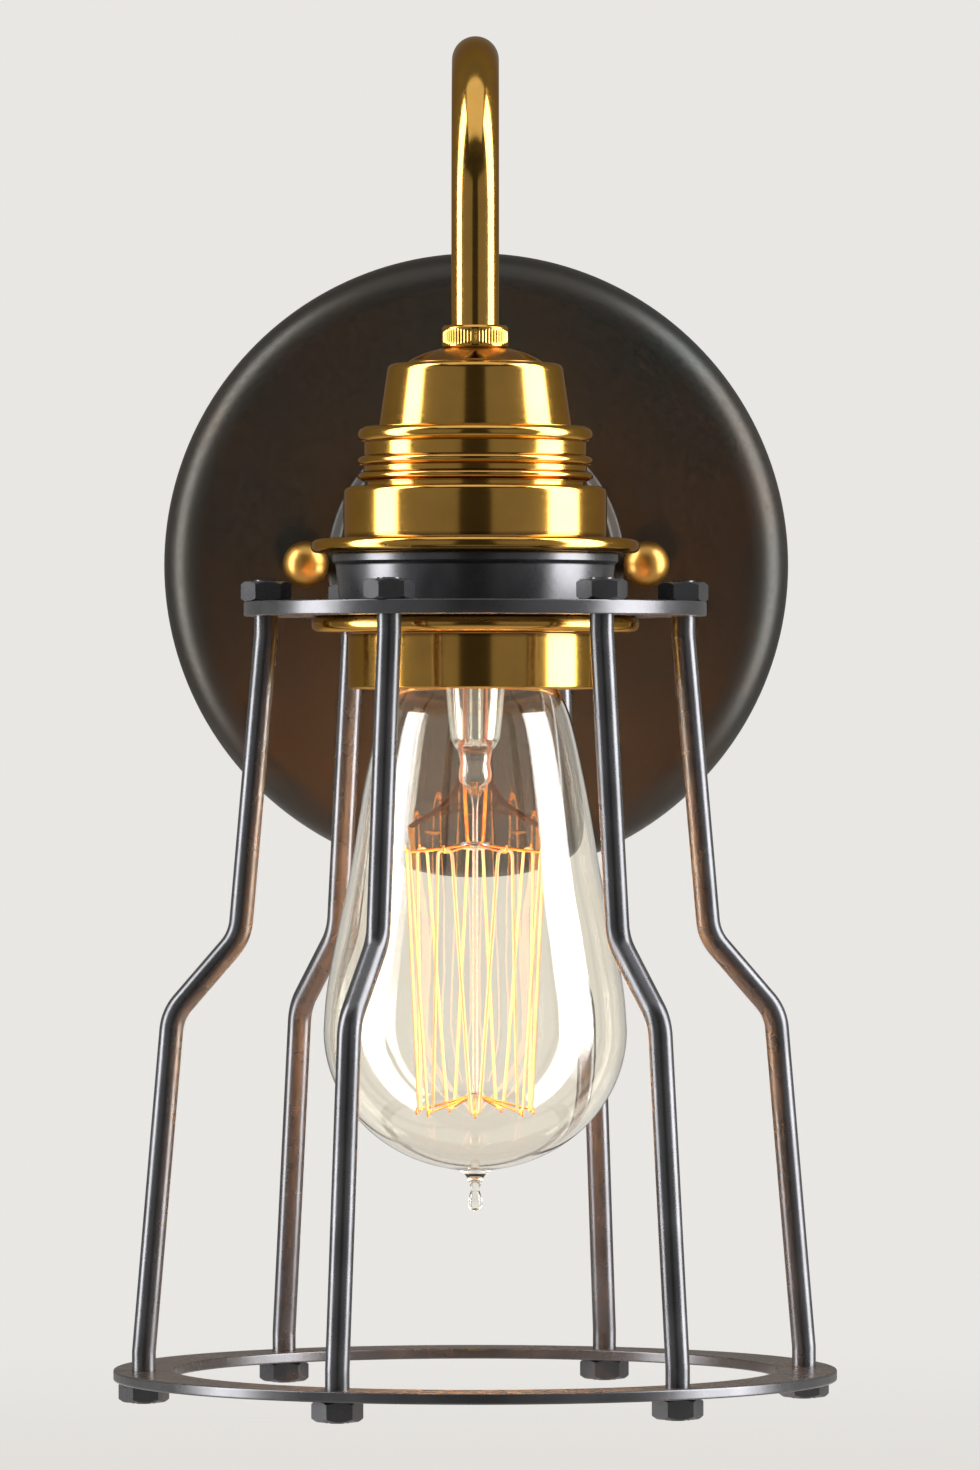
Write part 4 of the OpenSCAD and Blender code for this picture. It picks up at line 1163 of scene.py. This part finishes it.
class WALLLIGHT_OT_filament(BuildOperator):
    """Build the glass stem, the lead wires, the hooks and the glowing filament"""

    bl_idname = "wall_light.filament"
    bl_label = "Stem and filament"

    def execute(self, context):
        size = context.scene.wall_light.bulb
        hooks, ring = size.hooks, mm(size.filament)
        upper, foot, foot_ring, start = -62.0, -117.0, ring - 2.5, math.radians(90)
        upper_loop, foot_loop, strand = 3.2, 1.8, 0.35
        # the post's two glass buttons, which hold the hooks
        post, edge, disc, disc_z, button, button_z = 0.6, 0.8, 3.2, -61.3, 2.0, -114.0

        def bead(radius, height):
            """A button on the post, from its upper to its lower face."""
            rim = arc(radius - edge, height, edge, 90, -90, 8)
            return [(post, height + edge + 0.2), *rim]

        flare = smooth_line([(11.1, -14), (8.5, -19), (6.6, -26), (5.8, -34), (5.2, -39)], 6)
        # the exhaust tube hangs in the flare's hollow, round the line that the stem is turned about
        wall, tube_bore, tube, tube_top, tube_foot = 0.8, 1.0, 1.6, -15, -39.8
        outline = [
            *flare, (4.3, -40.6), (3.6, -41.6), (3.4, -42.6), (3.1, -44.2), (3.5, -46.0), (3.4, -47.6),
            (2.3, -49), (1.3, -50.6), (0.8, -52), (post, -53.5), *bead(disc, disc_z),
            (post, disc_z - edge - 0.2), *bead(button, button_z), (0, button_z - edge), (0, -40),
            (tube_bore, -40), (tube_bore, tube_top), (tube, tube_top), (tube, tube_foot), (4.4, -39),
            *[(r - wall, h) for r, h in flare[-2::-1]],
        ]
        made = lathe("Bulb_stem", outline, SMALL_TURNS, sharp=60.0)
        place(made, "stem_glass", "stem_glass", "bulb")

        values = {
            "Upper Radius": ring * MM, "Upper Height": upper * MM, "Upper Loop": upper_loop * MM,
            "Foot Radius": foot_ring * MM, "Foot Height": foot * MM, "Foot Loop": foot_loop * MM,
            "Hooks": hooks, "Turn": start, "Axis": LAMP_AXIS, "Wire Radius": strand * MM,
            "Material": finish_of("glowing_tungsten"),
        }
        strands = grow("Filament", "Filament strands", values, sharp=60.0)
        place(strands, "glowing_tungsten", "filament_glow", "bulb")

        wire, bite, step = 0.25, 0.4, 2 * math.pi / hooks
        arms = []
        for reach, height, root, root_z, rise, first, count in (
            (ring, upper, disc - bite, disc_z, -1.0, start + step, hooks - 1),
            (foot_ring, foot, button - bite, button_z, 1.0, start + step / 2, hooks),
        ):
            # out from the button to the filament's loop and round it in a small hook
            over, under = height + rise * 0.55, height - rise * 0.9
            line = [
                ((root, 0, root_z), 0), ((reach - 1.4, 0, over), 1.2), ((reach + 0.6, 0, over), 0.5),
                ((reach + 0.6, 0, under), 0),
            ]
            for k in range(count):
                turn = Matrix.Rotation(first + k * step, 3, "Z")
                places = [(*(turn @ Vector(spot) + Vector((0, LAMP_Y, 0))), bend) for spot, bend in line]
                arms.append(bar("Hook", places, wire, "molybdenum_wire", 10, 4))
        place(join("Filament_hooks", arms), "molybdenum_wire", "support_wire", "bulb")

        lead, lead_x, lead_top, lead_bend = 0.4, 2.2, -16, -50
        leads = []
        for side in (-1, 1):
            x, a = side * lead_x, start - side * upper_loop / 2 / ring
            end = (ring * math.cos(a), LAMP_Y + ring * math.sin(a), upper, 0)
            line = [(x, LAMP_Y, lead_top, 0), (x, LAMP_Y, lead_bend, 3), end]
            leads.append(bar("Lead", line, lead, "copper_wire", 16, 8))
        place(join("Lead_wires", leads), "copper_wire", "copper_wire", "bulb")
        return {"FINISHED"}


class WALLLIGHT_OT_inside(BuildOperator):
    """Give the straps, screws, wires and socket parts their materials"""

    bl_idname = "wall_light.inside"
    bl_label = "Fixings, wires and socket"

    NODES_OF_FINISH = {
        "zinc_plated_steel": (
            "box_strap", "stud_strap", "pivot_screw", "plate_studs", "arm_washer", "arm_lock_nut",
            "neck_nut",
        ),
        "green_enamel": ("earth_screw",),
        "black_pvc": ("live_wire",),
        "white_pvc": ("neutral_wire",),
        "green_pvc": ("earth_wire",),
        "glazed_porcelain": ("porcelain_core",),
        "bright_brass": ("terminal_screws", "screw_shell", "centre_contact"),
    }

    def execute(self, context):
        for key, nodes in self.NODES_OF_FINISH.items():
            for node in nodes:
                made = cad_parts[node]
                if not made.material_slots:
                    made.data.materials.append(None)
                for holder in made.material_slots:
                    holder.material = finish_of(key)
        return {"FINISHED"}


# ---- Stage ----


def floor_material(colour):
    """Matt paper, lit from below as on a light table.

    It fades into the background towards its edge, and isn't there when seen from below.
    """
    matt, lit, fade_start, fade_end = 0.2, 0.85, 0.22, 0.8
    grey = [*(matt * part for part in colour[:3]), 1.0]
    material, tree, shader, where = new_material("studio_paper", grey, 0.9)
    set_inputs(shader, {"Emission Color": colour, "Emission Strength": lit})
    away = vector_math(tree, "LENGTH", where).outputs["Value"]
    spread = {"Value": away, "From Min": fade_start, "From Max": fade_end}
    fade = add_node(tree, "ShaderNodeMapRange", spread, interpolation_type="SMOOTHSTEP")
    below = add_node(tree, "ShaderNodeNewGeometry").outputs["Backfacing"]
    gone = calculate(tree, "MAXIMUM", fade.outputs[0], below)
    show_mix(tree, gone, shader, add_node(tree, "ShaderNodeBsdfTransparent"))
    return material


def studio_world(paper):
    """The background: paper where it is seen, and a dim studio, lighter on the wall's side, as light."""
    world = bpy.data.worlds.new("Studio")
    world.use_nodes = True
    tree = world.node_tree
    way = add_node(tree, "ShaderNodeTexCoord").outputs["Generated"]
    depth = add_node(tree, "ShaderNodeSeparateXYZ", {0: way}).outputs[1]
    behind = between(tree, depth, 0.0, 1.0, -0.3, 0.5)
    camera_side, wall_side = linear("#3b3a38"), linear("#807e79")
    dim = blend_colour(tree, behind, camera_side, wall_side)
    seen = ray_kinds(tree)[1]
    set_inputs(tree.nodes["Background"], {"Color": blend_colour(tree, seen, dim, paper)})
    return world


def hide_through_glass(lamp):
    """Shows a lamp as a reflection, but never straight through the glass."""
    lamp.use_nodes = True
    tree = lamp.node_tree
    rays = add_node(tree, "ShaderNodeLightPath").outputs
    straight = calculate(tree, "LESS_THAN", rays["Glossy Depth"], 0.5)
    hidden = calculate(tree, "MULTIPLY", rays["Is Transmission Ray"], straight)
    set_inputs(tree.nodes["Emission"], {"Strength": calculate(tree, "SUBTRACT", 1.0, hidden)})


class WALLLIGHT_OT_stage(BuildOperator):
    """Build the pale floor, the background, the lamps and the camera"""

    bl_idname = "wall_light.stage"
    bl_label = "Stage"

    # each lamp: name, angle to the right of the camera, height angle, distance, width, height, power
    LAMPS = (
        ("Key_left", -84, 12, 1.0, 0.44, 2.0, 26.0),
        ("Key_right", 84, 12, 1.0, 0.62, 2.0, 36.0),
        ("Fill_left", -40, 6, 1.6, 1.55, 1.5, 1.8),
        ("Fill_right", 40, 6, 1.6, 1.55, 1.5, 1.8),
        ("Top", 0, 78, 1.5, 1.6, 1.2, 6.0),
    )
    LAMPS_AIM = Vector((0.0, LAMP_Y * MM, -0.02))
    FLOOR_Y, FLOOR_RADIUS, FLOOR_SIDES = -0.1, 1.6, 96
    CAMERA_PLACE, CAMERA_LENS, SENSOR_WIDTH = (0.0031, -2.1, -0.0381), 227.8, 36.0

    def execute(self, context):
        scene, stage = context.scene, context.scene.wall_light.stage
        floor = self.build_floor(stage)
        # the two key lamps leave the floor dark, so that it stays as even as the background
        unlit = bpy.data.collections.new("Without key light")
        unlit.objects.link(floor)
        unlit.collection_objects[0].light_linking.link_state = "EXCLUDE"
        scene.world = studio_world(stage.paper)
        for name, *values in self.LAMPS:
            holder = self.build_lamp(name, *values)
            if name.startswith("Key"):
                holder.light_linking.receiver_collection = unlit

        camera = bpy.data.cameras.new("Camera")
        camera.lens, camera.sensor_width, camera.clip_start = self.CAMERA_LENS, self.SENSOR_WIDTH, 0.05
        holder = new_object("Camera", camera)
        holder.location = self.CAMERA_PLACE
        holder.rotation_euler = (math.pi / 2, 0.0, 0.0)
        scene.camera = holder
        scene.view_settings.view_transform = "Standard"
        return {"FINISHED"}

    def build_floor(self, stage):
        """Round floor under the cage's foot."""
        floor_z = cad_box[0][2] - stage.drop
        rim = arc(0.0, self.FLOOR_Y, self.FLOOR_RADIUS, 0, 360, self.FLOOR_SIDES)[:-1]
        mesh = bpy.data.meshes.new("Floor")
        mesh.from_pydata([(*p, floor_z) for p in rim], [], [tuple(range(self.FLOOR_SIDES))])
        floor = new_object("Floor", mesh)
        floor.data.materials.append(floor_material(stage.paper))
        return floor

    def build_lamp(self, name, turn, rise, away, width, height, power):
        """Soft rectangular lamp that faces the lampholder."""
        lamp = bpy.data.lights.new(name, "AREA")
        lamp.shape, lamp.size, lamp.size_y, lamp.energy = "RECTANGLE", width, height, power
        hide_through_glass(lamp)
        holder = new_object(name, lamp)
        a, e = math.radians(turn), math.radians(rise)
        way = Vector((math.sin(a) * math.cos(e), -math.cos(a) * math.cos(e), math.sin(e)))
        holder.location = self.LAMPS_AIM + way * away
        holder.rotation_euler = (-way).to_track_quat("-Z", "Y").to_euler()
        return holder


class WALLLIGHT_PT_panel(bpy.types.Panel):
    """Sizes, colours and building steps of the wall light"""

    bl_idname = "WALLLIGHT_PT_panel"
    bl_label = "Cage wall light"
    bl_space_type = "VIEW_3D"
    bl_region_type = "UI"
    bl_category = "Wall light"

    def draw(self, context):
        settings = context.scene.wall_light
        for key in WallLightSettings.__annotations__:
            box, sizes = self.layout.box(), getattr(settings, key)
            box.label(text=key.capitalize())
            for field in type(sizes).__annotations__:
                box.prop(sizes, field)
        for step in STEPS:
            self.layout.operator(step.bl_idname)


STEPS = (
    WALLLIGHT_OT_plate,
    WALLLIGHT_OT_ball_nuts,
    WALLLIGHT_OT_arm,
    WALLLIGHT_OT_neck,
    WALLLIGHT_OT_lampholder,
    WALLLIGHT_OT_cage,
    WALLLIGHT_OT_bulb,
    WALLLIGHT_OT_filament,
    WALLLIGHT_OT_inside,
    WALLLIGHT_OT_stage,
)

CLASSES = (
    WallLightPlate, WallLightArm, WallLightHolder, WallLightCage, WallLightBulb, WallLightFinish,
    WallLightStage, WallLightSettings, *STEPS, WALLLIGHT_PT_panel,
)


def register():
    for item in CLASSES:
        bpy.utils.register_class(item)
    settings = group(WallLightSettings, "Wall light", "Sizes and colours of the wall light")
    bpy.types.Scene.wall_light = settings


def unregister():
    del bpy.types.Scene.wall_light
    for item in reversed(CLASSES):
        bpy.utils.unregister_class(item)


def main():
    register()
    bpy.ops.wall_light.plate()
    bpy.ops.wall_light.ball_nuts()
    bpy.ops.wall_light.arm()
    bpy.ops.wall_light.neck()
    bpy.ops.wall_light.lampholder()
    bpy.ops.wall_light.cage()
    bpy.ops.wall_light.bulb()
    bpy.ops.wall_light.filament()
    bpy.ops.wall_light.inside()
    bpy.ops.wall_light.stage()


if __name__ == "__main__":
    main()
